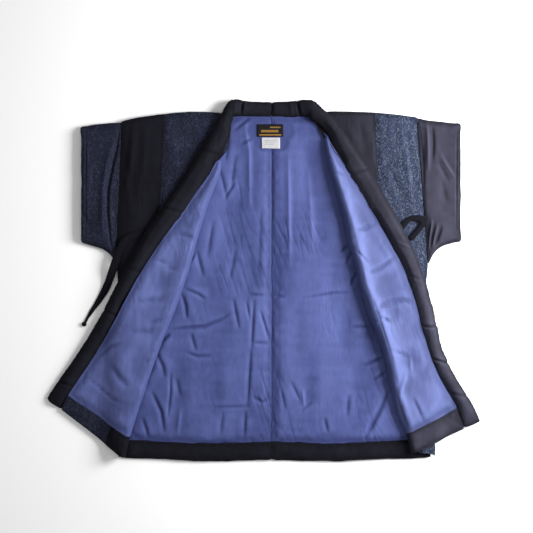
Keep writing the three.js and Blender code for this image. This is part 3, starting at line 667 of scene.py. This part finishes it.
@dataclass
class ClothPiece:
    """A sewn piece, made from its node and softened."""

    node: str
    finish: Finish
    relief: Relief
    shift: Array
    levels: int = 3
    flat: Point | None = None
    area: float | None = None
    hold: Hold = Hold.LAID
    rests_on: tuple[str, ...] = ()
    pulls: tuple[Pull, ...] = ()
    wobble: float = 0.8  # unevenness of an edge
    overlap: float = 0.9  # how far a side wall presses into its neighbour at a seam
    plain_under: bool = False  # a flat hidden underside is kept as one face
    covers: tuple[str, ...] = ()  # nodes that lie on the piece, which it stays under

    GAP = 0.2  # between the piece and what lies on it
    BELOW = 3.0  # how far under a point the search for what lies on it starts
    FREE = 100.0  # room where nothing lies on it
    NO_WALL = 1000.0  # distance from a side wall where there is none
    WELD = 0.02 * MM  # points closer than this become one
    FLAT_DOWN = -0.99  # a normal's height on a flat underside
    SHARP = math.radians(50)
    SHARPNESS = 0.9
    SIDE_WALL = 0.35  # a normal's height on a side wall
    PINCH = 0.5  # how far a crease draws an edge in, as a share of its height

    def build(self) -> bpy.types.Object:
        """Makes the piece and ties it to the frame.

        Returns:
            The piece.
        """
        piece = self._copy()
        self._shape(piece.data)
        piece.data.materials.clear()
        piece.data.materials.append(material_of(self.finish))
        piece.data.shade_smooth()
        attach(piece, "root")
        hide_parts(self.node)
        log.info("%s: %d faces", piece.name, len(piece.data.polygons))
        return piece

    def sheet(self) -> bpy.types.Object:
        """Builds the piece.

        Returns:
            The piece.
        """
        piece = self.build()
        return piece

    def _merged(self) -> tuple[bpy.types.Mesh, bmesh.types.BMesh]:
        """Copies the node's mesh and merges its double points.

        Returns:
            The copied mesh, and its shape to work on.
        """
        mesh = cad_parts[self.node].data.copy()
        shape = bmesh.new()
        shape.from_mesh(mesh)
        bmesh.ops.remove_doubles(shape, verts=shape.verts, dist=self.WELD)
        return mesh, shape

    def _copy(self) -> bpy.types.Object:
        """Copies the node in four-sided faces, subdivided.

        Returns:
            The copy.
        """
        mesh, shape = self._merged()
        bmesh.ops.join_triangles(shape, faces=shape.faces, angle_face_threshold=math.radians(40),
                                 angle_shape_threshold=math.radians(50))
        if self.plain_under:
            shape.normal_update()
            under = [face for face in shape.faces if face.normal.z < self.FLAT_DOWN]
            bmesh.ops.dissolve_faces(shape, faces=under)
        weights = shape.edges.layers.float
        sharp = weights.get("crease_edge") or weights.new("crease_edge")
        for edge in shape.edges:
            if len(edge.link_faces) == 2 and edge.calc_face_angle(0.0) > self.SHARP:
                edge[sharp] = self.SHARPNESS
        shape.to_mesh(mesh)
        shape.free()
        rough = add_object(f"{self.node}_rough", mesh)
        subdivision = rough.modifiers.new("soft", "SUBSURF")
        subdivision.levels = subdivision.render_levels = self.levels
        evaluated = rough.evaluated_get(bpy.context.evaluated_depsgraph_get())
        smooth_mesh = bpy.data.meshes.new_from_object(evaluated)
        bpy.data.objects.remove(rough)
        return add_object(f"{self.node}_cloth", smooth_mesh)

    def _shape(self, mesh: bpy.types.Mesh) -> None:
        """Raises the relief on the upper side and keeps it as attributes.

        Args:
            mesh: The piece's mesh.
        """
        places, normals = self._points(mesh)
        plan = places[:, :2] / MM - self.shift
        rim = self._rim_distance(places, normals)
        upward = smooth(normals[:, 2], 0.1, 0.7)
        heights = self.relief.heights(plan, rim) * upward
        if self.covers:
            room = self._headroom(places, upward)
            over = heights - room
            count = int((over > 0).sum())
            log.info("%s: %d points lowered, by up to %.1f mm", self.node, count, over.max())
            heights = np.minimum(heights, room)
        places[:, 2] += heights * MM
        sideways = 1.0 - smooth(np.abs(normals[:, 2]), 0.3, 0.8)
        noise = Ripples(self.relief.seed + 1)
        uneven = 0.4 * noise.at(plan, (11.0, 11.0)) + 0.8 * noise.at(plan, (27.0, 27.0))
        outward = self.overlap + self.wobble * uneven
        outward += self.PINCH * self.relief.pinch(plan)
        places[:, :2] += normals[:, :2] * (sideways * outward * MM)[:, None]
        for pull in self.pulls:
            places[:, :2] += pull.steps(plan) * MM
        mesh.vertices.foreach_set("co", places.ravel())
        # rim and ridge carry painted shade and light for the materials: shade along edges and seams, light on
        # ridges and shade in troughs.
        self._keep(mesh, "rim", np.exp(-((rim / 5.0) ** 2)))
        self._keep(mesh, "ridge", np.clip((heights - self.relief.puff) / 2.5, -1.0, 1.0))
        mesh.update()

    def _headroom(self, places: Array, upward: Array) -> Array:
        """Measures the free height up to the nodes that lie on the piece.

        Args:
            places: Its points, in metres.
            upward: How much each faces up, from 0 to 1.

        Returns:
            How far each point may rise, in millimetres.
        """
        room = np.full(len(places), self.FREE)
        start = Vector((0.0, 0.0, -self.BELOW * MM))
        up = Vector((0.0, 0.0, 1.0))
        for name in self.covers:
            shape = bmesh.new()
            shape.from_mesh(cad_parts[name].data)
            above = BVHTree.FromBMesh(shape)
            shape.free()
            for index in np.flatnonzero(upward > 0):
                hit = above.ray_cast(Vector(places[index]) + start, up)[0]
                if hit:
                    room[index] = min(room[index], (hit.z - places[index, 2]) / MM - self.GAP)
        return room

    def _rim_distance(self, places: Array, normals: Array) -> Array:
        """Measures how far each point is from the piece's side walls.

        Args:
            places: The points, in metres.
            normals: Their normals.

        Returns:
            The distances, in millimetres.
        """
        walls = np.flatnonzero(np.abs(normals[:, 2]) < self.SIDE_WALL)
        if not len(walls):
            return np.full(len(places), self.NO_WALL)
        tree = KDTree(len(walls))
        for index in walls:
            tree.insert(places[index], int(index))
        tree.balance()
        return np.array([tree.find(place)[2] for place in places]) / MM

    @staticmethod
    def _points(mesh: bpy.types.Mesh) -> tuple[Array, Array]:
        """Reads a mesh's points.

        Args:
            mesh: The mesh.

        Returns:
            Their places and their normals.
        """
        places = np.empty(len(mesh.vertices) * 3)
        normals = np.empty(len(mesh.vertices) * 3)
        mesh.vertices.foreach_get("co", places)
        mesh.vertex_normals.foreach_get("vector", normals)
        return places.reshape(-1, 3), normals.reshape(-1, 3)

    @staticmethod
    def _keep(mesh: bpy.types.Mesh, name: str, values: Array) -> None:
        """Keeps numbers on the mesh's points."""
        attribute = mesh.attributes.new(name, "FLOAT", "POINT")
        attribute.data.foreach_set("value", values.astype(np.float32))


@dataclass
class PaddedPiece(ClothPiece):
    """A padded piece, which a short cloth simulation fills out."""

    start_in: float = 2.0  # how far inside its node the cloth starts, in millimetres
    cap: float = 5.0  # the furthest that a point may move, in millimetres
    side_cap: float = 0.8  # the furthest that a point may move sideways, in millimetres
    drops: tuple[Drop, ...] = ()

    VOXEL = 0.005
    PRESSURE = 4.0
    FRAMES = 20

    def _copy(self) -> bpy.types.Object:
        """Copies the node, remeshed evenly, filled and subdivided once.

        Returns:
            The copy.
        """
        mesh, shape = self._merged()
        shape.to_mesh(mesh)
        shape.free()
        pad = add_object(f"{self.node}_cloth", mesh)
        even = pad.modifiers.new("even", "REMESH")
        even.mode, even.voxel_size = "VOXEL", self.VOXEL
        self._settle(pad)
        start, normals = self._points(pad.data)
        inside = start - normals * self.start_in * MM
        pad.data.vertices.foreach_set("co", inside.ravel())
        self._fill(pad)
        filled = self._points(pad.data)[0]
        drift = inside + capped(filled - inside, self.cap * MM) - start
        drift[:, :2] = capped(drift[:, :2], self.side_cap * MM)
        under = normals[:, 2] < 0
        drift[under, 2] = np.maximum(drift[under, 2], 0.0)
        pad.data.vertices.foreach_set("co", (start + drift).ravel())
        finer = pad.modifiers.new("finer", "SUBSURF")
        finer.levels = finer.render_levels = 1
        self._settle(pad)
        return pad

    def _shape(self, mesh: bpy.types.Mesh) -> None:
        """Raises the relief, then brings the underside down at the drops.

        Args:
            mesh: The piece's mesh.
        """
        places, normals = self._points(mesh)
        plan = places[:, :2] / MM - self.shift
        underside = smooth(-normals[:, 2], -0.3, 0.3)
        super()._shape(mesh)
        places, _ = self._points(mesh)
        for drop in self.drops:
            places[:, 2] = drop.lower(plan, places[:, 2] / MM, underside) * MM
        mesh.vertices.foreach_set("co", places.ravel())
        mesh.update()

    def _fill(self, pad: bpy.types.Object) -> None:
        """Blows the cloth up softly with no weight on it, and applies the result.

        Args:
            pad: The piece.
        """
        filling = pad.modifiers.new("filling", "CLOTH")
        filling.settings.use_pressure = True
        filling.settings.uniform_pressure_force = self.PRESSURE
        filling.settings.effector_weights.gravity = 0.0
        filling.point_cache.frame_start = 1
        filling.point_cache.frame_end = self.FRAMES
        for number in range(1, self.FRAMES + 1):
            bpy.context.scene.frame_set(number)
        self._settle(pad)
        bpy.context.scene.frame_set(1)

    @staticmethod
    def _settle(piece: bpy.types.Object) -> None:
        """Applies all the modifiers of a piece.

        Args:
            piece: The piece.
        """
        evaluated = piece.evaluated_get(bpy.context.evaluated_depsgraph_get())
        shaped = bpy.data.meshes.new_from_object(evaluated)
        piece.modifiers.clear()
        piece.data = shaped


TIE_CALM = folds(
    (((-259, 105), (-279, 100), (-307, 84), (-324, 45), (-340, 0)), 12.0, 0.0),
    (((304, 117), (318, 136), (339, 138), (351, 128), (341, 111), (323, 90)), 10.0, 0.0),
)


@dataclass
class Back:
    """The back: padded outer halves, lining and hem facing."""

    shift: Array
    outer_cut: Point = (0.350, 0.772)
    outer_area: float = 0.261
    lining_cut: Point = (0.334, 0.720)
    lining_area: float = 0.230
    facing_cut: Point = (0.336, 0.039)
    neck_pulls: tuple[Pull, ...] = (
        Pull(((-72, 363), (-66, 363)), 12.0, (-4.0, 5.0)),
        Pull(((98, 363), (104, 363)), 12.0, (4.0, 5.0)),
    )
    creases: tuple[Crease, ...] = folds(
        (((-41, 342), (-31, 282), (-30, 154)), 8, 1.8),
        (((54, 286), (58, 22)), 8, 1.8),
        (((34, 354), (34, 0), (33, -345)), 15, -1.0),
        (((-86, 180), (-64, 214)), 5, -1.8),
        (((-98, 250), (-80, 178)), 6, -1.8),
        (((-66, 330), (-34, 356)), 6, -2.0),
        (((-52, 300), (-26, 312)), 5, -2.0),
        (((-76, 318), (-84, 262)), 7, -1.6),
        (((-62, 276), (-72, 196)), 7, -1.4),
        (((-170, 30), (-150, 62)), 5, -2.4),
        (((-62, 70), (-74, 0)), 7, -1.5),
        (((168, 60), (188, 78)), 5, -2.2),
        (((180, 34), (196, 66)), 5, -2.0),
        (((190, -14), (206, 18)), 5, -2.4),
        (((240, -222), (272, -200)), 5, -2.2),
        (((38, -240), (48, -284)), 6, -1.8),
        (((60, -222), (80, -266)), 6, -1.6),
        (((-28, -150), (-36, -282)), 6, -2.4),
        (((-24, -258), (-4, -268), (8, -264)), 5, -2.2),
        (((-110, -280), (-30, -278)), 5, -1.6),
        (((-40, -288), (-43, -345)), 6, -2.2),
        (((-228, -137), (-206, -118)), 6, -3.0),
        (((-236, -160), (-222, -190), (-218, -215)), 7, -2.6),
        (((-216, -110), (-240, -170), (-262, -240)), 9, -2.2),
        (((-111, 132), (-124, 49)), 8, -1.8),
        (((-6, 163), (-10, 14)), 8, -1.2),
        (((-148, 67), (-133, 7)), 7, -2.2),
        (((-175, -19), (-146, -30), (-127, -42)), 5, -2.6),
        (((-180, -30), (-172, -56), (-169, -86)), 6, -2.8),
        (((-208, -109), (-172, -105), (-132, -102), (-99, -89), (-74, -75)), 5, -2.6),
        (((-160, -117), (-149, -156)), 6, -2.0),
        (((-172, -159), (-146, -168), (-116, -166)), 5, -2.2),
        (((-205, -201), (-205, -246), (-211, -303)), 4.5, -2.0),
        (((-192, -215), (-184, -258)), 7, -1.9),
        (((-247, -244), (-225, -291), (-219, -336)), 6, -3.0),
        (((-267, -303), (-253, -347)), 6, -2.4),
        (((-190, -345), (-182, -280)), 7, 1.6),
        (((-96, -345), (-90, -290)), 7, -1.5),
        (((-34, -32), (3, -33)), 5, -2.0),
        (((23, -37), (47, -36)), 5, -1.8),
        (((-25, -138), (10, -139)), 5, -2.0),
        (((-21, -41), (-27, -153)), 6, -2.4),
        (((-8, -65), (13, -134)), 5, -2.2),
        (((-38, -45), (-30, -90)), 5, -1.6),
        (((-67, -41), (-54, -108)), 6, -2.2),
        (((98, 250), (110, 60)), 9, 1.2),
        (((80, -41), (156, -28), (193, -28)), 4.5, -1.7),
        (((193, -103), (232, -102)), 4.5, -1.7),
        (((218, -190), (266, -168)), 5, -2.5),
        (((86, -238), (89, -280)), 6, 1.5),
        (((106, -269), (80, -291)), 4.5, -1.5),
        (((134, -303), (141, -336)), 6, -2.0),
        (((187, -252), (184, -303)), 7, -2.0),
        (((221, -353), (260, -280), (277, -241)), 7, -3.2),
    )
    calm: tuple[Crease, ...] = folds(  # under the labels
        (((-14, 330), (44, 330)), 16, 0),
        (((-4, 303), (36, 303)), 13, 0),
    )

    def build(self) -> None:
        """Builds both halves."""
        for side in Side:
            name = side.value
            outer = Relief(ripple=0.0, pucker=0.0, dip=0.0)
            ClothPiece(f"back_{name}", DARK_LEFT, outer, self.shift, 2, self.outer_cut, self.outer_area,
                       pulls=self.neck_pulls, wobble=1.6).sheet()
            lining = Relief(self.creases, self.calm, ripple=1.0, cell=(26.0, 120.0), pucker=0.9, dip=1.0,
                            round=4.0, seed=4, puff=2.6, crumple=0.8, rest=1.0, depth=1.35)
            ClothPiece(f"back_lining_{name}", LINING, lining, self.shift, 4, self.lining_cut, self.lining_area,
                       rests_on=(f"back_{name}",), plain_under=True,
                       covers=(f"front_{name}_side_strip", f"front_{name}_inner_strip")).sheet()
            facing = Relief(ripple=0.7, cell=(24.0, 30.0), pucker=0.8, dip=0.5, round=4.0, seed=9, puff=1.0)
            ClothPiece(f"back_hem_facing_{name}", DARK_LEFT, facing, self.shift, 3, self.facing_cut,
                       rests_on=(f"back_{name}",), wobble=1.6).sheet()


@dataclass
class FrontPanels:
    """A front: two padded strips, its lining and its hem facing."""

    side: Side
    shift: Array
    side_finish: Finish
    inner_finish: Finish
    cuts: dict[str, tuple[Point, float]]
    facings: dict[str, Finish]
    strip_creases: tuple[Crease, ...]
    lining_creases: tuple[Crease, ...]
    side_pulls: tuple[Pull, ...] = ()
    fold_pulls: tuple[Pull, ...] = ()
    lining_pulls: tuple[Pull, ...] = ()

    def build(self) -> None:
        """Builds the strips, the lining and the facings."""
        name = self.side.value
        strips = {
            "side_strip": (self.side_finish, Hold.LAID, self.side_pulls),
            "inner_strip": (self.inner_finish, Hold.FOLDED, self.fold_pulls),
        }
        for strip, (finish, hold, pulls) in strips.items():
            relief = Relief(self.strip_creases, TIE_CALM, ripple=0.9, cell=(30.0, 80.0), pucker=0.7,
                            dip=1.3, round=6.0, seed=11, floor=-5.0)
            self._piece(f"front_{name}_{strip}", finish, relief, 2, hold, pulls)
        relief = Relief(self.lining_creases, ripple=1.2, cell=(44.0, 34.0), pucker=0.9, dip=0.5,
                        round=5.0, seed=17, puff=2.6, crumple=0.8, depth=1.3)
        pulls = self.fold_pulls + self.lining_pulls
        self._piece(f"front_lining_{name}", FRONT_LINING_PAINTED_LIGHT, relief, 3, Hold.FOLDED, pulls)
        for facing, finish in self.facings.items():
            relief = Relief(ripple=0.8, cell=(22.0, 22.0), pucker=0.8, dip=0.5, round=4.0, seed=21, puff=1.2)
            self._piece(facing, finish, relief, 3, Hold.FOLDED)

    def _piece(self, node: str, finish: Finish, relief: Relief, levels: int, hold: Hold,
               pulls: tuple[Pull, ...] = ()) -> None:
        """Builds one panel.

        Args:
            node: The panel's node.
            finish: Its cloth.
            relief: Its surface.
            levels: How often it is subdivided.
            hold: How it is held; not used.
            pulls: Sideways pulls on it.
        """
        flat, area = self.cuts[node]
        ClothPiece(node, finish, relief, self.shift, levels, flat, area, hold,
                   (f"back_{self.side.value}",), pulls).sheet()


@dataclass
class CollarBand:
    """Half of the padded collar band."""

    side: Side
    shift: Array
    finish: Finish
    creases: tuple[Crease, ...]
    pulls: tuple[Pull, ...]
    neck_corner: Drop
    fill: float = 0.55

    def build(self) -> None:
        """Builds the band as a padded piece."""
        relief = Relief(self.creases, ripple=0.7, cell=(26.0, 30.0), pucker=0.4, dip=0.0, round=6.0,
                        seed=31, floor=-6.0)
        piece = PaddedPiece(f"collar_{self.side.value}", self.finish, relief, self.shift,
                            pulls=self.pulls, overlap=2.2, drops=(self.neck_corner,)).build()


@dataclass
class Sleeve:
    """A short padded sleeve, a flattened tube."""

    side: Side
    shift: Array
    finish: Finish
    flat: Point
    area: float
    cuff_corners: tuple[tuple[Point, Point], ...]  # each with how far it is drawn out
    creases: tuple[Crease, ...]

    CORNER_WIDTH = 9.0

    def build(self) -> None:
        """Builds the sleeve, with its cuff's corners drawn out."""
        relief = Relief(self.creases, ripple=0.8, cell=(24.0, 60.0), pucker=0.7, dip=0.6, round=5.0,
                        seed=41, floor=-6.0)
        pulls = tuple(
            Pull(((x, y), (x - step[0], y - step[1])), self.CORNER_WIDTH, step)
            for (x, y), step in self.cuff_corners)
        ClothPiece(f"sleeve_{self.side.value}", self.finish, relief, self.shift, 3, self.flat, self.area,
                   Hold.FOLDED, pulls=pulls).sheet()


@dataclass
class Ties:
    """The two flat sewn ties and the left one's knot."""

    shift: Array
    left_cut: Point = (0.0145, 0.255)
    right_cut: Point = (0.0120, 0.108)

    def build(self) -> None:
        """Builds both ties."""
        flat = Relief(ripple=0.2, cell=(8.0, 22.0), pucker=0.0, dip=0.0, seed=51, puff=0.6)
        knot = ClothPiece("tie_knot", DARK_LEFT, flat, self.shift, 2).build()
        ClothPiece("tie_left", DARK_LEFT, flat, self.shift, 2, self.left_cut,
                   rests_on=("front_left_side_strip",)).sheet()
        ClothPiece("tie_right", DARK_LEFT, flat, self.shift, 2, self.right_cut,
                   rests_on=("front_right_side_strip",)).sheet()


@dataclass
class Labels:
    """The woven label and the white tape at the back neck."""

    shift: Array
    label_cut: Point = (0.056, 0.026)
    tag_cut: Point = (0.039, 0.023)

    def build(self) -> None:
        """Builds both labels."""
        flat = Relief(ripple=0.3, cell=(14.0, 14.0), pucker=0.0, dip=-1.5, round=60.0, seed=61)
        for node, finish, cut in (("neck_label", LABEL, self.label_cut), ("care_tag", TAG, self.tag_cut)):
            ClothPiece(node, finish, flat, self.shift, 3, cut, rests_on=("back_lining_left",)).sheet()


@dataclass
class Studio:
    """A plain pale floor, soft light and the camera straight above."""

    focal: float = 85.0
    sensor: float = 36.0
    view_width: float = 1.1726
    cloth_height: float = 0.012
    view_middle: Point = (6.7, 30.9)
    floor_size: float = 8.0
    floor_height: float = -0.0005
    sky: float = 0.38

    def build(self) -> None:
        """Builds the floor, the lights and the camera."""
        self._floor()
        self._light("softbox", (-0.4, 0.3, 3.4), size=3.0, power=14.0)
        self._light("window", (1.2, 0.3, 0.75), size=0.7, power=49.0)
        world = bpy.data.worlds.new("studio")
        world.use_nodes = True
        background = world.node_tree.nodes["Background"]
        background.inputs["Color"].default_value = (1.0, 1.0, 1.0, 1.0)
        background.inputs["Strength"].default_value = self.sky
        bpy.context.scene.world = world
        bpy.context.scene.view_settings.view_transform = "Standard"
        self._camera()

    def _floor(self) -> None:
        """A pale floor just under the cloth."""
        bpy.ops.object.select_all(action="DESELECT")
        bpy.ops.mesh.primitive_plane_add(size=self.floor_size, location=(0.0, 0.0, self.floor_height))
        floor = bpy.context.object
        floor.name = "floor"
        graph = Graph("floor_paper")
        grain = graph.noise(graph.place(), 90.0)
        colour = graph.mix(grain * 0.4, (0.93, 0.93, 0.93), (0.96, 0.96, 0.96))
        floor.data.materials.append(graph.finish(colour, 0.8, grain * 0.1, 0.0, (1.0, 1.0, 1.0)))

    def _light(self, name: str, place: tuple[float, float, float], size: float, power: float) -> None:
        """Adds one square lamp that points at the origin.

        Args:
            name: Its name.
            place: Where it stands.
            size: Its side.
            power: Its power in watts.
        """
        lamp = bpy.data.lights.new(name, "AREA")
        lamp.size = size
        lamp.energy = power
        holder = add_object(name, lamp)
        holder.location = place
        holder.rotation_euler = (-Vector(place)).to_track_quat("-Z", "Y").to_euler()

    def _camera(self) -> None:
        """The camera, as high as its lens needs for the view's width."""
        data = bpy.data.cameras.new("camera")
        data.lens = self.focal
        data.sensor_width = self.sensor
        camera = add_object("camera", data)
        height = self.cloth_height + self.view_width * self.focal / self.sensor
        camera.location = (self.view_middle[0] * MM, self.view_middle[1] * MM, height)
        bpy.context.scene.camera = camera


def fronts(shift: Array) -> tuple[FrontPanels, FrontPanels]:
    """Lists the two fronts with their cuts, in metres, and their creases.

    Args:
        shift: How far the frame lies from the plan.

    Returns:
        The left and the right front.
    """
    left = FrontPanels(
        Side.LEFT, shift, DARK_LEFT, SPECKLED_LEFT,
        {
            "front_left_side_strip": ((0.130, 0.760), 0.069),
            "front_left_inner_strip": ((0.205, 0.765), 0.103),
            "front_lining_left": ((0.190, 0.640), 0.074),
            "front_hem_facing_left_side": ((0.075, 0.046), None),
            "front_hem_facing_left_inner": ((0.100, 0.046), None),
        },
        {"front_hem_facing_left_side": DARK_LEFT, "front_hem_facing_left_inner": SPECKLED_LEFT},
        folds(
            (((-281, 352), (-285, 284), (-296, 207)), 6, 3.2),
            (((-292, 356), (-298, 290), (-308, 220)), 5, -2.4),
            (((-256, 348), (-262, 250), (-272, 180)), 7, 2.0),
            (((-300, 230), (-288, 140)), 8, 2.0),
            (((-200, 330), (-190, 230)), 9, 1.6),
            (((-160, 345), (-150, 290)), 7, -1.8),
        ),
        folds(
            (((-192, 106), (-162, 97), (-148, 87)), 5, -2.6),
            (((-237, 51), (-212, 36), (-188, 21)), 5, -2.2),
            (((-290, -47), (-250, -43), (-208, -41)), 8, -2.0),
            (((-250, -92), (-222, -86)), 6, -2.0),
            (((-290, -112), (-239, -112)), 8, -1.8),
            (((-368, -170), (-334, -145), (-312, -140)), 6, -2.2),
            (((-334, -185), (-318, -210), (-295, -232)), 8, -2.8),
            (((-262, -178), (-236, -174)), 5, -1.5),
            (((-396, -207), (-334, -257), (-318, -266), (-278, -280)), 4, -2.0),
            (((-94, 280), (-115, 213), (-137, 144), (-172, 22), (-208, -87), (-246, -186), (-279, -285),
              (-300, -350)), 13, 1.5),
        ),
        fold_pulls=(Pull(((-94, 300), (-108, 240)), 40.0, (7.0, 0.0)),),
    )
    right = FrontPanels(
        Side.RIGHT, shift, SPECKLED_RIGHT_PAINTED_LIGHT, DARK_RIGHT_PAINTED_SHEEN,
        {
            "front_right_side_strip": ((0.125, 0.765), 0.0594),
            "front_right_inner_strip": ((0.225, 0.765), 0.115),
            "front_lining_right": ((0.190, 0.660), 0.074),
            "front_hem_facing_right": ((0.165, 0.046), None),
        },
        {"front_hem_facing_right": DARK_RIGHT_PAINTED_SHEEN},
        folds(
            (((279, 360), (283, 322), (288, 280)), 5, 3.4),
            (((293, 352), (296, 318), (298, 285)), 4.5, -2.6),
            (((306, 322), (315, 271), (329, 168)), 5.5, 4.0),
            (((318, 330), (328, 268), (339, 190)), 5, -3.2),
            (((262, 254), (281, 206), (303, 162)), 5.5, 3.6),
            (((270, 270), (292, 218), (314, 178)), 5, -2.6),
            (((240, 330), (244, 270), (252, 220)), 8, 2.4),
            (((190, 340), (204, 300)), 9, 2.2),
            (((214, 352), (222, 308), (226, 268)), 6, -2.4),
        ),
        folds(
            (((153, 236), (165, 234), (176, 227)), 5, -2.2),
            (((191, 106), (220, 112), (247, 127)), 6, -2.6),
            (((223, 12), (256, 26), (291, 53)), 6, -2.8),
            (((203, 64), (216, 50), (229, 38)), 5, -2.0),
            (((238, -76), (260, -55), (282, -49), (305, -43), (327, -50)), 7, -3.4),
            (((263, -81), (274, -92)), 6, -2.4),
            (((266, -155), (291, -156), (322, -170)), 5, -2.2),
            (((322, -168), (322, -201)), 4.5, 1.8),
            (((370, -176), (352, -207)), 6, -2.0),
            (((313, -207), (294, -257)), 6, 3.2),
            (((327, -257), (350, -308)), 6, -2.0),
            (((291, -252), (313, -322)), 6, -2.6),
            (((236, -92), (256, -84), (276, -88)), 5, -3.0),
            (((138, 320), (165, 220), (200, 110), (226, -10), (254, -71), (282, -159), (300, -252),
              (332, -335)), 20, 4.2),
        ),
        side_pulls=(Pull(((366, -366), (362, -386)), 14.0, (11.0, 2.0)),),
        lining_pulls=(Pull(((131, 324), (133, 308)), 20.0, (-3.0, 13.0)),),
    )
    return left, right


def collars(shift: Array) -> tuple[CollarBand, CollarBand]:
    """Lists the two halves of the collar with their creases and pulls.

    Args:
        shift: How far the frame lies from the plan.

    Returns:
        The left and the right half.
    """
    left = CollarBand(Side.LEFT, shift, DARK_LEFT, folds(
        (((-228, 162), (-200, 154), (-172, 146)), 4.5, -2.4),
        (((-304, 30), (-262, 14)), 6, -1.6),
        (((-362, -62), (-312, -82)), 4.5, -2.8),
        (((-462, -218), (-408, -238)), 5, -2.4),
        (((-150, 288), (-96, 274)), 6, -1.8),
        (((-44, 404), (-48, 376), (-50, 356)), 4, -4.5),
        (((-60, 400), (-64, 360)), 5, 2.0),
        (((0, 402), (-2, 384)), 4, -1.8),
    ), (
        Pull(((-92, 322), (-108, 268)), 14.0, (9.5, -2.0)),
        Pull(((-122, 246), (-126, 230)), 11.0, (9.0, -3.0)),
        Pull(((-140, 205), (-184, 130)), 14.0, (5.0, -2.0)),
    ), Drop(((-88, 372), (-56, 372))))
    right = CollarBand(Side.RIGHT, shift, DARK_RIGHT_PAINTED_SHEEN, folds(
        (((292, 84), (324, 72)), 4, 2.6),
        (((340, -100), (366, -102), (394, -98)), 3.5, -5.0),
        (((362, -170), (390, -178), (420, -186)), 3.5, -5.0),
        (((240, 246), (184, 230)), 5, -2.0),
        (((74, 404), (77, 378), (82, 356)), 4, -4.5),
        (((60, 400), (62, 360)), 5, 1.8),
        (((404, -248), (452, -256)), 5, -2.4),
        (((318, 10), (346, 2)), 5, -1.8),
    ), (
        Pull(((112, 354), (120, 342)), 12.0, (-9.0, -3.0)),
        Pull(((186, 245), (206, 200), (230, 160)), 14.0, (-8.0, -2.0)),
    ), Drop(((92, 372), (128, 372))))
    return left, right


def sleeves(shift: Array) -> tuple[Sleeve, Sleeve]:
    """Lists the two sleeves with their cuts, in metres, and their creases.

    Args:
        shift: How far the frame lies from the plan.

    Returns:
        The left and the right sleeve.
    """
    left_corners = (((-400, 333), (-4, 5)), ((-395, 91), (-4, -5)))
    right_corners = (((430, 340), (4, 5)), ((430, 92), (4, -5)))
    left = Sleeve(Side.LEFT, shift, SPECKLED_LEFT, (0.086, 0.600), 0.0465, left_corners, folds(
        (((-314, 342), (-323, 290), (-332, 252), (-342, 200), (-343, 150), (-338, 90), (-330, 58)), 4, -5.5),
        (((-327, 320), (-343, 262), (-354, 200), (-355, 130), (-350, 80)), 8, 3.0),
        (((-390, 330), (-391, 100)), 2.5, -1.6),
        (((-372, 250), (-378, 190)), 7, -1.6),
        (((-404, 150), (-380, 120)), 7, -1.5),
    ))
    right = Sleeve(Side.RIGHT, shift, DARK_RIGHT_PAINTED_SHEEN, (0.094, 0.620), 0.0484, right_corners, folds(
        (((359, 350), (361, 300), (362, 240)), 6, 3.6),
        (((372, 340), (374, 296), (372, 262)), 5, -3.0),
        (((350, 300), (352, 240), (350, 190)), 6, -2.6),
        (((388, 277), (404, 250), (421, 224)), 5, 3.4),
        (((384, 262), (396, 238), (408, 218)), 5, -2.4),
        (((392, 220), (404, 170)), 8, -1.8),
        (((383, 124), (376, 96), (371, 71)), 4, 4.0),
        (((392, 120), (384, 94), (378, 76)), 4, -3.0),
        (((371, 133), (366, 98), (362, 64)), 4, 4.0),
        (((425, 330), (424, 110)), 2.5, -1.8),
    ))
    return left, right


def main() -> None:
    """Builds the stage and each sub-assembly in order."""
    logging.basicConfig(level=logging.INFO, format="%(name)s: %(message)s")
    shift = plan_shift()
    Studio().build()
    for part in (Back(shift), *fronts(shift), *collars(shift), *sleeves(shift), Ties(shift), Labels(shift)):
        part.build()


if __name__ == "__main__":
    main()
